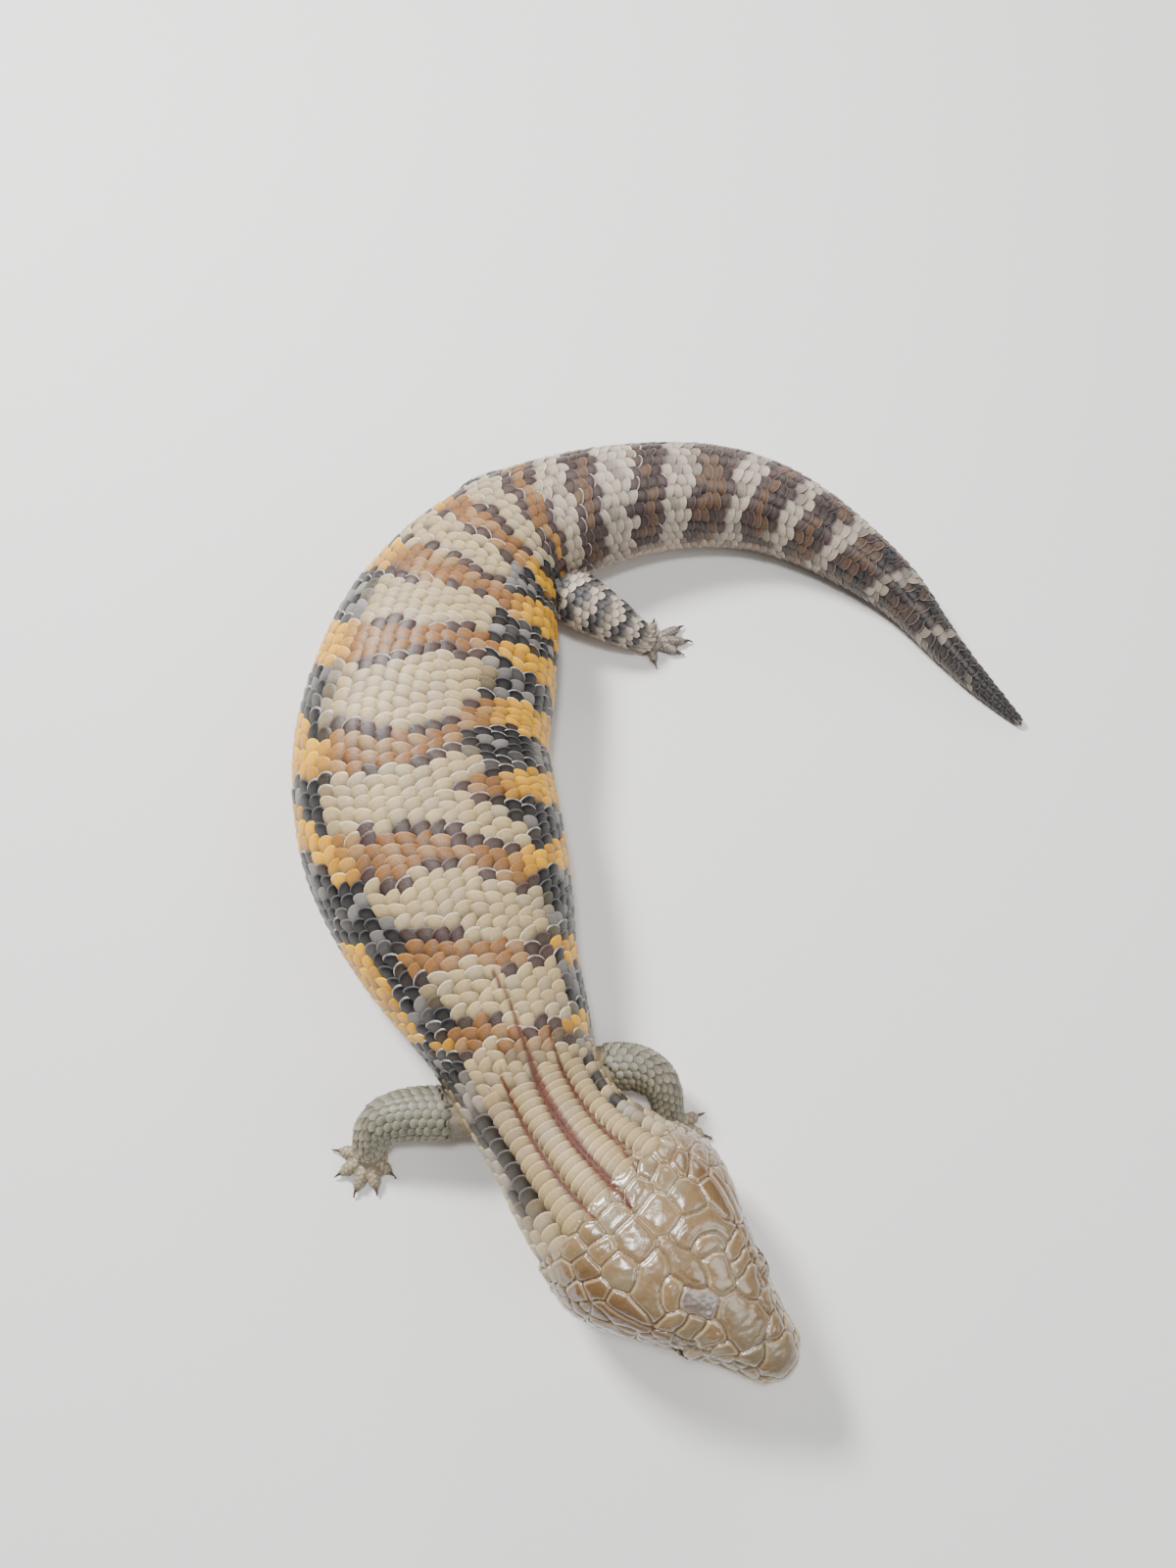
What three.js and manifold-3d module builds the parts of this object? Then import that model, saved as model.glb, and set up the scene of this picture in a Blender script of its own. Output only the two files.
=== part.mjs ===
// A young blue-tongued skink at life size, about 31 cm from snout to tail tip, lying on its
// belly with the body bent in an open curve, as a still display model.
//
// Millimetres. +Z is up and z = 0 is the surface that it lies on. +Y runs from the head to
// the far side of the curve, where the tail begins, and the snout and the tail tip point
// to +X. The origin is the middle of the model's footprint.
//
// The trunk is one tube of changing section along a bent spine, parted by thin gaps into
// head, neck, chest, belly, hips and three lengths of tail. Each leg is a round limb in
// three parts, cut to fit the flank that it grows from.

import * as THREE from "three";
import { mergeVertices } from "three/addons/utils/BufferGeometryUtils.js";
import Module from "manifold-3d";

const wasm = await Module();
wasm.setup();

// Driving dimensions

const GAP = 0.3; // between two parts that meet
const RING_STEP = 4.4; // between the trunk's rings
const HEAD_RING_STEP = 1.5; // between the head's rings behind the snout
const SIDES = 36; // corners of each trunk ring, a multiple of four
const TAIL_END = 309; // length along the spine from snout to tail tip

// The spine seen from above, from the snout to the tail tip: [x, y].
const SPINE = [
  [32.4, -100.5],
  [17.4, -87.2],
  [2.6, -73.2],
  [-4.2, -65.6],
  [-9.7, -57],
  [-14.5, -45.8],
  [-20.4, -33.4],
  [-25.5, -20.6],
  [-29.9, -7.2],
  [-31.9, 6.3],
  [-30.2, 20.6],
  [-27.2, 33.6],
  [-22.6, 45.6],
  [-14.8, 55.4],
  [-3.6, 61.8],
  [9, 65.7],
  [22, 67.4],
  [35, 66],
  [47, 61],
  [57.5, 53.8],
  [66, 46.2],
  [73, 36.5],
  [80.4, 27],
  [89.2, 17.4],
];

// Profiles along the spine: [distance from the snout, value].
const HALF_WIDTH = [
  [0, 0.5],
  [0.5, 2.2],
  [1.5, 3.6],
  [3, 4.7],
  [6, 6],
  [10, 7.6],
  [15, 9.7],
  [21.5, 13],
  [27, 15.7],
  [32, 16.8],
  [37, 16.4],
  [41.5, 15.3],
  [46, 14],
  [52, 12.6],
  [57, 12.3],
  [63, 13],
  [70, 14.4],
  [78, 16.5],
  [87, 19.4],
  [95, 21.7],
  [104, 23.5],
  [114, 24.5],
  [130, 24.3],
  [144, 23.6],
  [153, 22.6],
  [161, 20.9],
  [169, 18.3],
  [177, 15.8],
  [186, 13.9],
  [198, 12.4],
  [212, 11.2],
  [224, 10.4],
  [237, 9.2],
  [249, 7.8],
  [261, 6.3],
  [273, 4.8],
  [285, 3.4],
  [297, 2.3],
  [305, 1.3],
  [309, 0.6],
];
const BACK = [
  [0, 13],
  [0.5, 14.6],
  [1.5, 15.9],
  [3, 17.1],
  [6, 18.9],
  [10, 21],
  [15, 23.4],
  [21.5, 25.6],
  [27, 26.5],
  [32, 26.7],
  [37, 26.2],
  [41.5, 25.4],
  [52, 22.9],
  [57, 22.5],
  [63, 23],
  [78, 25.8],
  [95, 28.8],
  [114, 30],
  [133, 30],
  [153, 28.8],
  [169, 26],
  [186, 23.6],
  [212, 21.4],
  [237, 18.7],
  [261, 12.9],
  [285, 7],
  [297, 4.5],
  [309, 1.3],
];
// The level of the widest line, which is the mouth line on the head.
const FLANK = [
  [0, 12.2],
  [5, 11.8],
  [12, 11.1],
  [18, 10.9],
  [24, 11.8],
  [32, 12.3],
  [41.5, 12],
  [52, 11.3],
  [63, 10.8],
  [87, 11.5],
  [104, 12],
  [144, 12],
  [169, 11.4],
  [198, 10.6],
  [237, 9.1],
  [261, 6.2],
  [285, 3.4],
  [309, 0.7],
];
// The underside. Below zero it is laid flat on the floor.
const BELLY = [
  [0, 11.4],
  [0.5, 10.2],
  [1.5, 9.3],
  [3, 8.6],
  [6, 7.9],
  [12, 7],
  [21.5, 6],
  [32, 5.4],
  [41.5, 4.8],
  [48, 3.6],
  [56, 1.6],
  [64, -0.3],
  [78, -1.4],
  [95, -1.8],
  [153, -1.8],
  [186, -1],
  [237, -0.6],
  [285, -0.3],
  [309, -0.1],
];
// How square the section is above and below the widest line: 2 is an ellipse.
const SQUARE_ABOVE = [
  [0, 2],
  [6, 2.3],
  [14, 2.7],
  [30, 2.6],
  [44, 2.2],
  [104, 2.25],
  [186, 2.1],
  [309, 2],
];
const SQUARE_BELOW = [
  [0, 2],
  [10, 2.3],
  [32, 2.3],
  [52, 2.2],
  [104, 2.5],
  [186, 2.3],
  [309, 2],
];

// Lengths of the trunk, from the snout: [name, end].
const TRUNK_PARTS = [
  ["head", 41.5],
  ["neck", 55],
  ["chest", 100],
  ["belly", 152],
  ["hips", 190],
  ["tail_base", 232],
  ["tail_middle", 272],
  ["tail_tip", TAIL_END],
];

const MOUTH = { from: 0.4, corner: 23, depth: 0.75, lip: 0.3 };
const EYE = { along: 15.6, out: 6.5, level: 16.8, radius: 2.9, look: [0.95, 0.22, 0.12] };
const LIDS = { thick: 0.7, long: 2.15, high: 1.3 };
const NOSTRIL = { along: 2.5, out: 4.2, level: 14.3, radius: 0.6, deep: 1.1 };
const EAR = { along: 37.4, out: 17, level: 13.4, radii: [1.25, 2.1, 2] };

// Swellings of the head's surface: [name, distance, turn from the top in degrees, height,
// spread along, spread round in degrees]. A hollow has a height below zero.
const HEAD_FORMS = [
  ["brow", 16.5, 52, 0.7, 4, 16],
  ["cheek hollow", 9, 70, -0.45, 3.5, 16],
  ["nose", 2.6, 62, 0.35, 1.6, 22],
  ["temple", 28, 40, 0.5, 5, 18],
  ["jowl", 31, 100, 0.7, 6, 26],
  ["crown furrow", 33, 0, -0.35, 6, 14],
];

const LIMB_SIDES = 12;
const TOE_SIDES = 8;
const CLAW = { length: 1.2, root: 0.46, tip: 0.12 };

// Each limb runs from inside the trunk through the joint to the paw: [x, y, z, radius].
// Points 0 to 2 are the upper part, 2 to 4 the lower part and 4 to 5 the root of the paw.
// A toe is [turn from +X in degrees, length].
const LIMBS = {
  right_front: {
    parts: ["upper_arm", "forearm", "hand"],
    line: [
      [-12, -58.5, 10, 4.5],
      [-21, -60.6, 9.6, 4.5],
      [-29.5, -60.6, 8.8, 4.3],
      [-36, -61.8, 7.2, 3.9],
      [-38.4, -65, 4.2, 2.9],
      [-38.8, -66.9, 2.3, 2.3],
    ],
    paw: { at: [-38.8, -67, 1.5], half: [3.1, 2.5, 1.6] },
    toe: { root: 1.2, tip: 0.98 },
    toes: [
      [172, 5],
      [211, 5.4],
      [250, 5.6],
      [284, 5.2],
      [322, 4.2],
    ],
  },
  left_front: {
    parts: ["upper_arm", "forearm", "hand"],
    line: [
      [-5, -54, 10, 4.1],
      [2.6, -53, 9.8, 4],
      [8.6, -52.8, 9.2, 3.8],
      [12.8, -55.2, 7.6, 3.2],
      [14.3, -59.4, 4.4, 2.4],
      [14.9, -61.6, 2.3, 2.1],
    ],
    paw: { at: [15.2, -62, 1.5], half: [2.5, 2.6, 1.6] },
    toe: { root: 1.15, tip: 0.95 },
    toes: [
      [22, 4.6],
      [-16, 5.4],
      [-52, 5.6],
      [-90, 5.2],
      [-138, 4.2],
    ],
  },
  left_hind: {
    parts: ["thigh", "shank", "foot"],
    line: [
      [-16, 48.5, 11, 5.9],
      [-7, 44.7, 9.8, 5.8],
      [0, 41.1, 8.4, 5.3],
      [6, 38.2, 6.4, 4.2],
      [10.8, 36.4, 3.8, 2.8],
      [12.8, 36.4, 2.2, 2.1],
    ],
    paw: { at: [12.9, 36.5, 1.4], half: [2.7, 2.5, 1.5] },
    toe: { root: 0.98, tip: 0.78 },
    toes: [
      [78, 4.6],
      [30, 7],
      [4, 7.4],
      [-20, 6],
      [-76, 4.2],
    ],
  },
  right_hind: {
    parts: ["thigh", "shank", "foot"],
    line: [
      [-21, 56, 9, 5.4],
      [-26.6, 61.4, 7, 5],
      [-23.6, 69, 6, 4.4],
      [-16.2, 73.6, 5, 3.6],
      [-8.6, 77.6, 3.5, 2.7],
      [-6.2, 78.8, 2.2, 2.1],
    ],
    paw: { at: [-6, 78.9, 1.4], half: [2.6, 2.3, 1.5] },
    toe: { root: 0.98, tip: 0.78 },
    toes: [
      [104, 4.2],
      [50, 5.6],
      [26, 7.4],
      [4, 7],
      [-20, 4.6],
    ],
  },
};

const FINISHES = {
  head: { color: 0xb39a72, roughness: 0.42, metalness: 0 },
  trunk: { color: 0xa98a63, roughness: 0.45, metalness: 0 },
  tail: { color: 0x8d8378, roughness: 0.48, metalness: 0 },
  front_leg: { color: 0x8f8f7c, roughness: 0.45, metalness: 0 },
  hind_leg: { color: 0x837c72, roughness: 0.5, metalness: 0 },
  eye: { color: 0x2a1d14, roughness: 0.12, metalness: 0 },
};

// Curves and profiles

const spine = new THREE.CatmullRomCurve3(
  SPINE.map(([x, y]) => new THREE.Vector3(x, y, 0)),
  false,
  "catmullrom",
  0.5,
);
spine.arcLengthDivisions = 2000;

// A smooth curve through the rows of a profile, read at one distance.
function read(profile, distance) {
  const last = profile.length - 1;
  let i = 0;
  while (i < last - 1 && profile[i + 1][0] < distance) i += 1;
  const slope = (k) => {
    const a = profile[Math.max(k - 1, 0)];
    const b = profile[Math.min(k + 1, last)];
    return (b[1] - a[1]) / (b[0] - a[0]);
  };
  const [s0, v0] = profile[i];
  const [s1, v1] = profile[i + 1];
  const width = s1 - s0;
  const t = THREE.MathUtils.clamp((distance - s0) / width, 0, 1);
  const rise = t * t * (3 - 2 * t);
  const start = t * (1 - t) * (1 - t) * width * slope(i);
  const end = t * t * (t - 1) * width * slope(i + 1);
  return v0 + (v1 - v0) * rise + start + end;
}

// The place and the directions of the trunk at a distance from the snout.
function station(distance) {
  const u = distance / TAIL_END;
  const place = spine.getPointAt(u);
  const back = spine.getTangentAt(u);
  return { place, back, left: new THREE.Vector3(back.y, -back.x, 0) };
}

// A point of the surface: turn is 0 on the back, 90 degrees on the left flank.
function trunkPoint(distance, turn, grow = 0) {
  const half = read(HALF_WIDTH, distance) + grow;
  const flank = read(FLANK, distance);
  const top = read(BACK, distance) + grow - flank;
  const bottom = flank - read(BELLY, distance) + grow;
  const above = Math.cos(turn) >= 0;
  const power = 2 / read(above ? SQUARE_ABOVE : SQUARE_BELOW, distance);
  const across = half * Math.sign(Math.sin(turn)) * Math.abs(Math.sin(turn)) ** power;
  const up = (above ? top : -bottom) * Math.abs(Math.cos(turn)) ** power;
  const { place, left } = station(distance);
  return place.clone().addScaledVector(left, across).setZ(flank + up);
}

// Solids

// A closed surface of rings becomes a solid, whichever way round its faces were made.
function solidOf(positions, triangles) {
  const geometry = new THREE.BufferGeometry();
  geometry.setAttribute("position", new THREE.Float32BufferAttribute(positions, 3));
  geometry.setIndex(triangles);
  const merged = mergeVertices(geometry, 1e-4);
  const make = (order) =>
    new wasm.Manifold(
      new wasm.Mesh({
        numProp: 3,
        vertProperties: merged.attributes.position.array,
        triVerts: new Uint32Array(order),
      }),
    );
  const order = Array.from(merged.index.array);
  const solid = make(order);
  return solid.volume() > 0 ? solid : make(order.reverse());
}

// Rings of equal count joined side by side, with a fan over each end.
function loft(rings) {
  const count = rings[0].length;
  const positions = [];
  rings.forEach((ring) => ring.forEach((p) => positions.push(p.x, p.y, p.z)));
  const triangles = [];
  for (let r = 0; r + 1 < rings.length; r += 1) {
    for (let k = 0; k < count; k += 1) {
      const a = r * count + k;
      const b = r * count + ((k + 1) % count);
      triangles.push(a, a + count, b, b, a + count, b + count);
    }
  }
  [rings[0], rings[rings.length - 1]].forEach((ring, end) => {
    const centre = ring
      .reduce((sum, p) => sum.add(p), new THREE.Vector3())
      .divideScalar(count);
    const hub = positions.length / 3;
    positions.push(centre.x, centre.y, centre.z);
    const first = end * (rings.length - 1) * count;
    for (let k = 0; k < count; k += 1) {
      const pair = [first + k, first + ((k + 1) % count)];
      triangles.push(hub, ...(end ? pair.reverse() : pair));
    }
  });
  return solidOf(positions, triangles);
}

// Distances from one end to the other, at most a step apart.
function steps(from, to, step) {
  const count = Math.max(1, Math.ceil((to - from) / step));
  return Array.from({ length: count + 1 }, (_, i) => from + ((to - from) * i) / count);
}

function trunkRing(distance, grow = 0) {
  return Array.from({ length: SIDES }, (_, k) => {
    const p = trunkPoint(distance, (2 * Math.PI * k) / SIDES, grow);
    return grow ? p : p.setZ(Math.max(p.z, 0));
  });
}

// An ellipsoid with its first axis along a direction.
function ellipsoid(centre, radii, direction, segments = [12, 8]) {
  const geometry = new THREE.SphereGeometry(1, ...segments);
  geometry.deleteAttribute("normal");
  geometry.deleteAttribute("uv");
  const turn = new THREE.Quaternion().setFromRotationMatrix(
    new THREE.Matrix4().lookAt(direction, new THREE.Vector3(), new THREE.Vector3(0, 0, 1)),
  );
  const size = new THREE.Vector3(radii[1], radii[2], radii[0]);
  geometry.applyMatrix4(new THREE.Matrix4().compose(centre, turn, size));
  return solidOf(Array.from(geometry.attributes.position.array), Array.from(geometry.index.array));
}

// A round tube of changing radius along a curve, with a domed or a flat far end.
function tube(line, sides, from, to, step, grow = 0, dome = false) {
  const curve = new THREE.CatmullRomCurve3(line.map(([x, y, z]) => new THREE.Vector3(x, y, z)));
  const radii = line.map((row, i) => [i / (line.length - 1), row[3]]);
  const spots = steps(from, to, step);
  const rings = spots.map((t) => ({ t, scale: 1, ahead: 0 }));
  if (dome) {
    [0.5, 0.87].forEach((part) => {
      rings.push({ t: to, scale: Math.sqrt(1 - part * part), ahead: part });
    });
  }
  return loft(
    rings.map(({ t, scale, ahead }) => {
      const radius = read(radii, t) + grow;
      const along = curve.getTangent(t);
      const side = new THREE.Vector3(0, 0, 1).cross(along).normalize();
      const up = along.clone().cross(side);
      const centre = curve.getPoint(t).addScaledVector(along, ahead * radius);
      return Array.from({ length: sides }, (_, k) => {
        const turn = (2 * Math.PI * k) / sides;
        return centre
          .clone()
          .addScaledVector(side, radius * scale * Math.cos(turn))
          .addScaledVector(up, radius * scale * Math.sin(turn));
      });
    }),
  );
}

// What lies above the floor. The paws are trimmed to a flat sole with it.
function aboveFloor(solid) {
  return solid.trimByPlane([0, 0, 1], 0);
}

// The largest closed body of a solid, without loose scraps.
function largest(solid) {
  return solid.decompose().reduce((a, b) => (b.volume() > a.volume() ? b : a));
}

// The head

// How far the head's surface is pushed out at a place.
function headForm(distance, turn) {
  const degrees = THREE.MathUtils.radToDeg(Math.acos(Math.cos(turn)));
  return HEAD_FORMS.reduce((sum, [, along, round, height, spread, spreadRound]) => {
    const a = (distance - along) / spread;
    const b = (degrees - round) / spreadRound;
    return sum + height * Math.exp(-a * a - b * b);
  }, 0);
}

// The mouth line is a groove between two swollen lips.
function mouthForm(distance, corner) {
  const { from, corner: end, depth, lip } = MOUTH;
  const fade = THREE.MathUtils.smoothstep(distance, 0, from) -
    THREE.MathUtils.smoothstep(distance, end - 2.5, end);
  const steps = Math.min(
    Math.abs(corner - SIDES / 4),
    Math.abs(corner - (3 * SIDES) / 4),
  );
  if (steps === 0) return -depth * fade;
  return steps === 1 ? lip * fade : 0;
}

function headRing(distance, blend) {
  const centre = station(distance).place.setZ(read(FLANK, distance));
  return Array.from({ length: SIDES }, (_, k) => {
    const turn = (2 * Math.PI * k) / SIDES;
    const p = trunkPoint(distance, turn);
    const out = p.clone().sub(centre).normalize();
    const push = headForm(distance, turn) * blend + mouthForm(distance, k);
    return p.addScaledVector(out, push);
  });
}

// A place beside the spine on one side: +1 is the animal's left.
function beside({ along, out, level }, side) {
  const { place, left } = station(along);
  return place.clone().addScaledVector(left, side * out).setZ(level);
}

function eyeDirection(side) {
  const { back, left } = station(EYE.along);
  const [out, up, forward] = EYE.look;
  return new THREE.Vector3()
    .addScaledVector(left, side * out)
    .addScaledVector(back, -forward)
    .add(new THREE.Vector3(0, 0, up))
    .normalize();
}

function headSolid() {
  const end = TRUNK_PARTS[0][1] - GAP / 2;
  const snout = [0.02, 0.2, 0.5, 0.95, 1.5, 2.2, 3];
  const spots = [...snout, ...steps(3, end, HEAD_RING_STEP).slice(1)];
  let head = loft(
    spots.map((s) =>
      headRing(s, THREE.MathUtils.smoothstep(s, 0, 2) - THREE.MathUtils.smoothstep(s, end - 5, end)),
    ),
  );
  const { back } = station(EYE.along);
  [1, -1].forEach((side) => {
    const look = eyeDirection(side);
    const eye = beside(EYE, side);
    const lidRadius = EYE.radius + GAP + LIDS.thick;
    head = head.add(ellipsoid(eye, [lidRadius, lidRadius, lidRadius * 0.94], look, [20, 12]));
    head = head.subtract(ellipsoid(eye, Array(3).fill(EYE.radius + GAP), look, [18, 12]));
    const slit = eye.clone().addScaledVector(look, EYE.radius);
    head = head.subtract(ellipsoid(slit, [3, LIDS.long, LIDS.high], look));
    const nostril = beside(NOSTRIL, side);
    const noseOut = nostril.clone().sub(beside({ ...NOSTRIL, out: 1 }, side)).normalize();
    noseOut.addScaledVector(back, -0.3).normalize();
    const { radius, deep } = NOSTRIL;
    head = head.subtract(ellipsoid(nostril, [deep, radius, radius], noseOut, [10, 6]));
    const ear = beside(EAR, side);
    const earOut = ear.clone().sub(beside({ ...EAR, out: 1 }, side)).normalize();
    head = head.subtract(
      ellipsoid(ear, [EAR.radii[2], EAR.radii[0], EAR.radii[1]], earOut, [16, 10]),
    );
  });
  return largest(head);
}

function eyeSolid(side) {
  return ellipsoid(beside(EYE, side), Array(3).fill(EYE.radius), eyeDirection(side), [18, 12]);
}

// The trunk behind the head

const trunkSpots = {};
TRUNK_PARTS.slice(1).forEach(([name, end], i) => {
  const start = TRUNK_PARTS[i][1] + GAP / 2;
  const stop = name === "tail_tip" ? TAIL_END : end - GAP / 2;
  trunkSpots[name] = steps(start, stop, RING_STEP);
});

function trunkSolid(name) {
  return loft(trunkSpots[name].map((s) => trunkRing(s)));
}

// The same trunk, a gap larger all round, which the legs are cut with.
const trunkCutter = loft(Object.values(trunkSpots).flat().map((s) => trunkRing(s, GAP)));

// Legs and toes

function toeSolid(paw, toe, turnDegrees, length) {
  const turn = THREE.MathUtils.degToRad(turnDegrees);
  const [x, y] = paw.at;
  const at = (reach, z, radius) => [
    x + reach * Math.cos(turn),
    y + reach * Math.sin(turn),
    z,
    radius,
  ];
  const flesh = tube(
    [
      at(0.6, toe.root, toe.root),
      at(length * 0.5, toe.root * 1.25, toe.root),
      at(length * 0.8, toe.root * 1.1, (toe.root + toe.tip) / 2),
      at(length, toe.tip * 0.82, toe.tip),
    ],
    TOE_SIDES,
    0,
    1,
    0.5,
    0,
    true,
  );
  const claw = tube(
    [
      at(length + toe.tip * 0.2, toe.tip * 1.15, CLAW.root),
      at(length + toe.tip * 0.8 + CLAW.length * 0.5, toe.tip * 1, CLAW.root * 0.7),
      at(length + toe.tip * 0.8 + CLAW.length, CLAW.tip * 1.4, CLAW.tip),
    ],
    5,
    0,
    1,
    0.5,
  );
  return flesh.add(claw);
}

function limbSolids({ line, paw, toe, toes }) {
  const last = line.length - 1;
  const at = (index) => index / last;
  const shift = GAP / 2 / 8 / last; // about half a gap, as a share of the line
  const upper = tube(line, LIMB_SIDES, 0, at(2) - shift, 0.1);
  const lower = tube(line, LIMB_SIDES, at(2) + shift, at(4) - shift, 0.1);
  const lowerCutter = tube(line, LIMB_SIDES, at(3), at(4) + shift, 0.1, GAP);
  let end = tube(line, LIMB_SIDES, at(4) - shift, 1, 0.1, 0, true);
  end = end.add(
    ellipsoid(
      new THREE.Vector3(...paw.at),
      [paw.half[0], paw.half[1], paw.half[2]],
      new THREE.Vector3(1, 0, 0),
    ),
  );
  toes.forEach(([turn, length]) => {
    end = end.add(toeSolid(paw, toe, turn, length));
  });
  return [upper, lower, end.subtract(lowerCutter)].map((solid) =>
    largest(aboveFloor(solid.subtract(trunkCutter))),
  );
}

// Meshes

const skink = new THREE.Group();

function addMesh(name, solid, finish) {
  const { numProp, vertProperties, triVerts } = solid.getMesh();
  const geometry = new THREE.BufferGeometry();
  const places = new THREE.InterleavedBuffer(vertProperties, numProp);
  geometry.setAttribute("position", new THREE.InterleavedBufferAttribute(places, 3, 0));
  geometry.setIndex(new THREE.BufferAttribute(triVerts, 1));
  const mesh = new THREE.Mesh(
    geometry,
    new THREE.MeshStandardMaterial(FINISHES[finish]),
  );
  mesh.name = name;
  skink.add(mesh);
}

addMesh("head", headSolid(), "head");
addMesh("eye_left", eyeSolid(1), "eye");
addMesh("eye_right", eyeSolid(-1), "eye");
TRUNK_PARTS.slice(1).forEach(([name]) => {
  addMesh(name, trunkSolid(name), name.startsWith("tail") ? "tail" : "trunk");
});
Object.entries(LIMBS).forEach(([limb, shape]) => {
  const finish = limb.endsWith("front") ? "front_leg" : "hind_leg";
  limbSolids(shape).forEach((solid, i) => {
    addMesh(`${limb}_${shape.parts[i]}`, solid, finish);
  });
});

// The origin is the middle of the footprint, on the floor.
const box = new THREE.Box3().setFromObject(skink);
const middle = box.getCenter(new THREE.Vector3());
skink.position.set(-middle.x, -middle.y, 0);

export default skink;
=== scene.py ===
# %% [markdown]
# # A young blue-tongued skink, scale by scale
#
# This lesson dresses a plain solid model of a lizard until it looks like the real animal. The
# solids give the pose and the outline. On top of them come one smooth skin, a coat of
# overlapping scales, the large shields of the head, two eyes and twenty claws.
#
# The first cell loads the solids as a fixed frame. Everything that follows is measured from it.

# %% The shared frame
import math

import bpy
import numpy as np
from mathutils import Matrix, Vector
from mathutils.bvhtree import BVHTree


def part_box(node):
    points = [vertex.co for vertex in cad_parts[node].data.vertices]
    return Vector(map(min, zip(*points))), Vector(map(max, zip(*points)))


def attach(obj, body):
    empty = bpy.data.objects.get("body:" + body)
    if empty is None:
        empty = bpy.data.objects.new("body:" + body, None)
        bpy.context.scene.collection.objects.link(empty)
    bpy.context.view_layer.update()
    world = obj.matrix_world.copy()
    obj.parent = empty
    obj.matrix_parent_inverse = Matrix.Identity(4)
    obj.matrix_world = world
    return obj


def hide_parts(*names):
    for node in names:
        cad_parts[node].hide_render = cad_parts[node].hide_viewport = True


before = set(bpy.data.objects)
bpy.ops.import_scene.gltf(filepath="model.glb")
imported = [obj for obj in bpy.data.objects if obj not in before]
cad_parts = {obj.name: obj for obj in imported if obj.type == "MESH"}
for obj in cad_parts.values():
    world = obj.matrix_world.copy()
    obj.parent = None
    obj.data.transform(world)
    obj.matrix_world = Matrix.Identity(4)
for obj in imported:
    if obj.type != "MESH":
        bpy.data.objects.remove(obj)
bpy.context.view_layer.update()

print("nodes:", len(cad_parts))

# %% [markdown]
# ## Camera
#
# The animal is seen from above and a little from the front, from only 22 cm away, so the near
# head looks larger than the far tail. That comes from the camera's place and its wide lens.

# %% Camera
MM = 0.001
TILT = 68.0  # degrees below the horizon
LENS = 27.045  # for a sensor of 36 mm along the picture's long side
CAMERA_AT = Vector((-16.745, -75.45, 220.3)) * MM

bpy.ops.object.select_all(action="DESELECT")
bpy.ops.object.camera_add(location=CAMERA_AT, rotation=(math.radians(90 - TILT), 0, 0))
camera = bpy.context.object
camera.name = "camera"
camera.data.lens = LENS
camera.data.clip_start = 0.01
bpy.context.scene.camera = camera
print("camera height, mm:", round(CAMERA_AT.z / MM, 1))

# %% [markdown]
# ## The line of the back
#
# Scales are set out along the animal and round it, so each place on it gets two numbers: how
# far it is from the snout, and how far round it is from the middle of the back. The line of
# the back is the curve that the solids were built on, repeated here in millimetres.

# %% Spine
TAIL_END = 309.0
EYE_ALONG = 15.6  # distance of the eyes from the snout
# From the tip of the snout to the tip of the tail, as seen from above.
SPINE = np.array([
    (32.4, -100.5), (17.4, -87.2), (2.6, -73.2), (-4.2, -65.6), (-9.7, -57), (-14.5, -45.8),
    (-20.4, -33.4), (-25.5, -20.6), (-29.9, -7.2), (-31.9, 6.3), (-30.2, 20.6), (-27.2, 33.6),
    (-22.6, 45.6), (-14.8, 55.4), (-3.6, 61.8), (9, 65.7), (22, 67.4), (35, 66), (47, 61),
    (57.5, 53.8), (66, 46.2), (73, 36.5), (80.4, 27), (89.2, 17.4),
])


def smooth_curve(points, samples):
    """A Catmull-Rom curve through the points, at evenly spaced shares of its parameter."""
    points = np.asarray(points, float)
    padded = np.vstack([2 * points[0] - points[1], points, 2 * points[-1] - points[-2]])
    at = np.linspace(0, len(points) - 1, samples)
    i = np.minimum(at.astype(int), len(points) - 2)
    t = (at - i)[:, None]
    a, b, c, d = (padded[i + k] for k in range(4))
    start, end = (c - a) / 2, (d - b) / 2
    return (
        b * (2 * t**3 - 3 * t**2 + 1)
        + c * (3 * t**2 - 2 * t**3)
        + start * (t**3 - 2 * t**2 + t)
        + end * (t**3 - t**2)
    )


def walked(curve):
    """The distance along a curve at each of its points."""
    return np.concatenate([[0], np.cumsum(np.linalg.norm(np.diff(curve, axis=0), axis=1))])


spine = smooth_curve(SPINE, 4001)
spine_at = walked(spine)
spine_at *= TAIL_END / spine_at[-1]
spine_way = np.gradient(spine, axis=0)
spine_way /= np.linalg.norm(spine_way, axis=1)[:, None]


def stations(s):
    """Places, directions and left sides of the spine at distances from the snout."""
    place = np.stack([np.interp(s, spine_at, spine[:, k]) for k in (0, 1)], -1)
    way = np.stack([np.interp(s, spine_at, spine_way[:, k]) for k in (0, 1)], -1)
    return place, way, np.stack([way[..., 1], -way[..., 0]], -1)


eye_boxes = {side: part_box("eye_" + side) for side in ("left", "right")}
eye_places = {
    side: np.array((low + high) / 2) / MM for side, (low, high) in eye_boxes.items()
}
between_eyes = sum(eye_places.values()) / 2
shift = between_eyes[:2] - stations(np.array(EYE_ALONG))[0]
spine += shift
print("shift of the spine, mm:", shift.round(2))

# %% [markdown]
# ## Measuring the solids
#
# Rays are sent from the spine out to the solids, all round and all along. They give a grid of
# the trunk's surface that later cells read like a map. The corners of the solids are
# averaged away, because a real flank is smooth.

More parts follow.
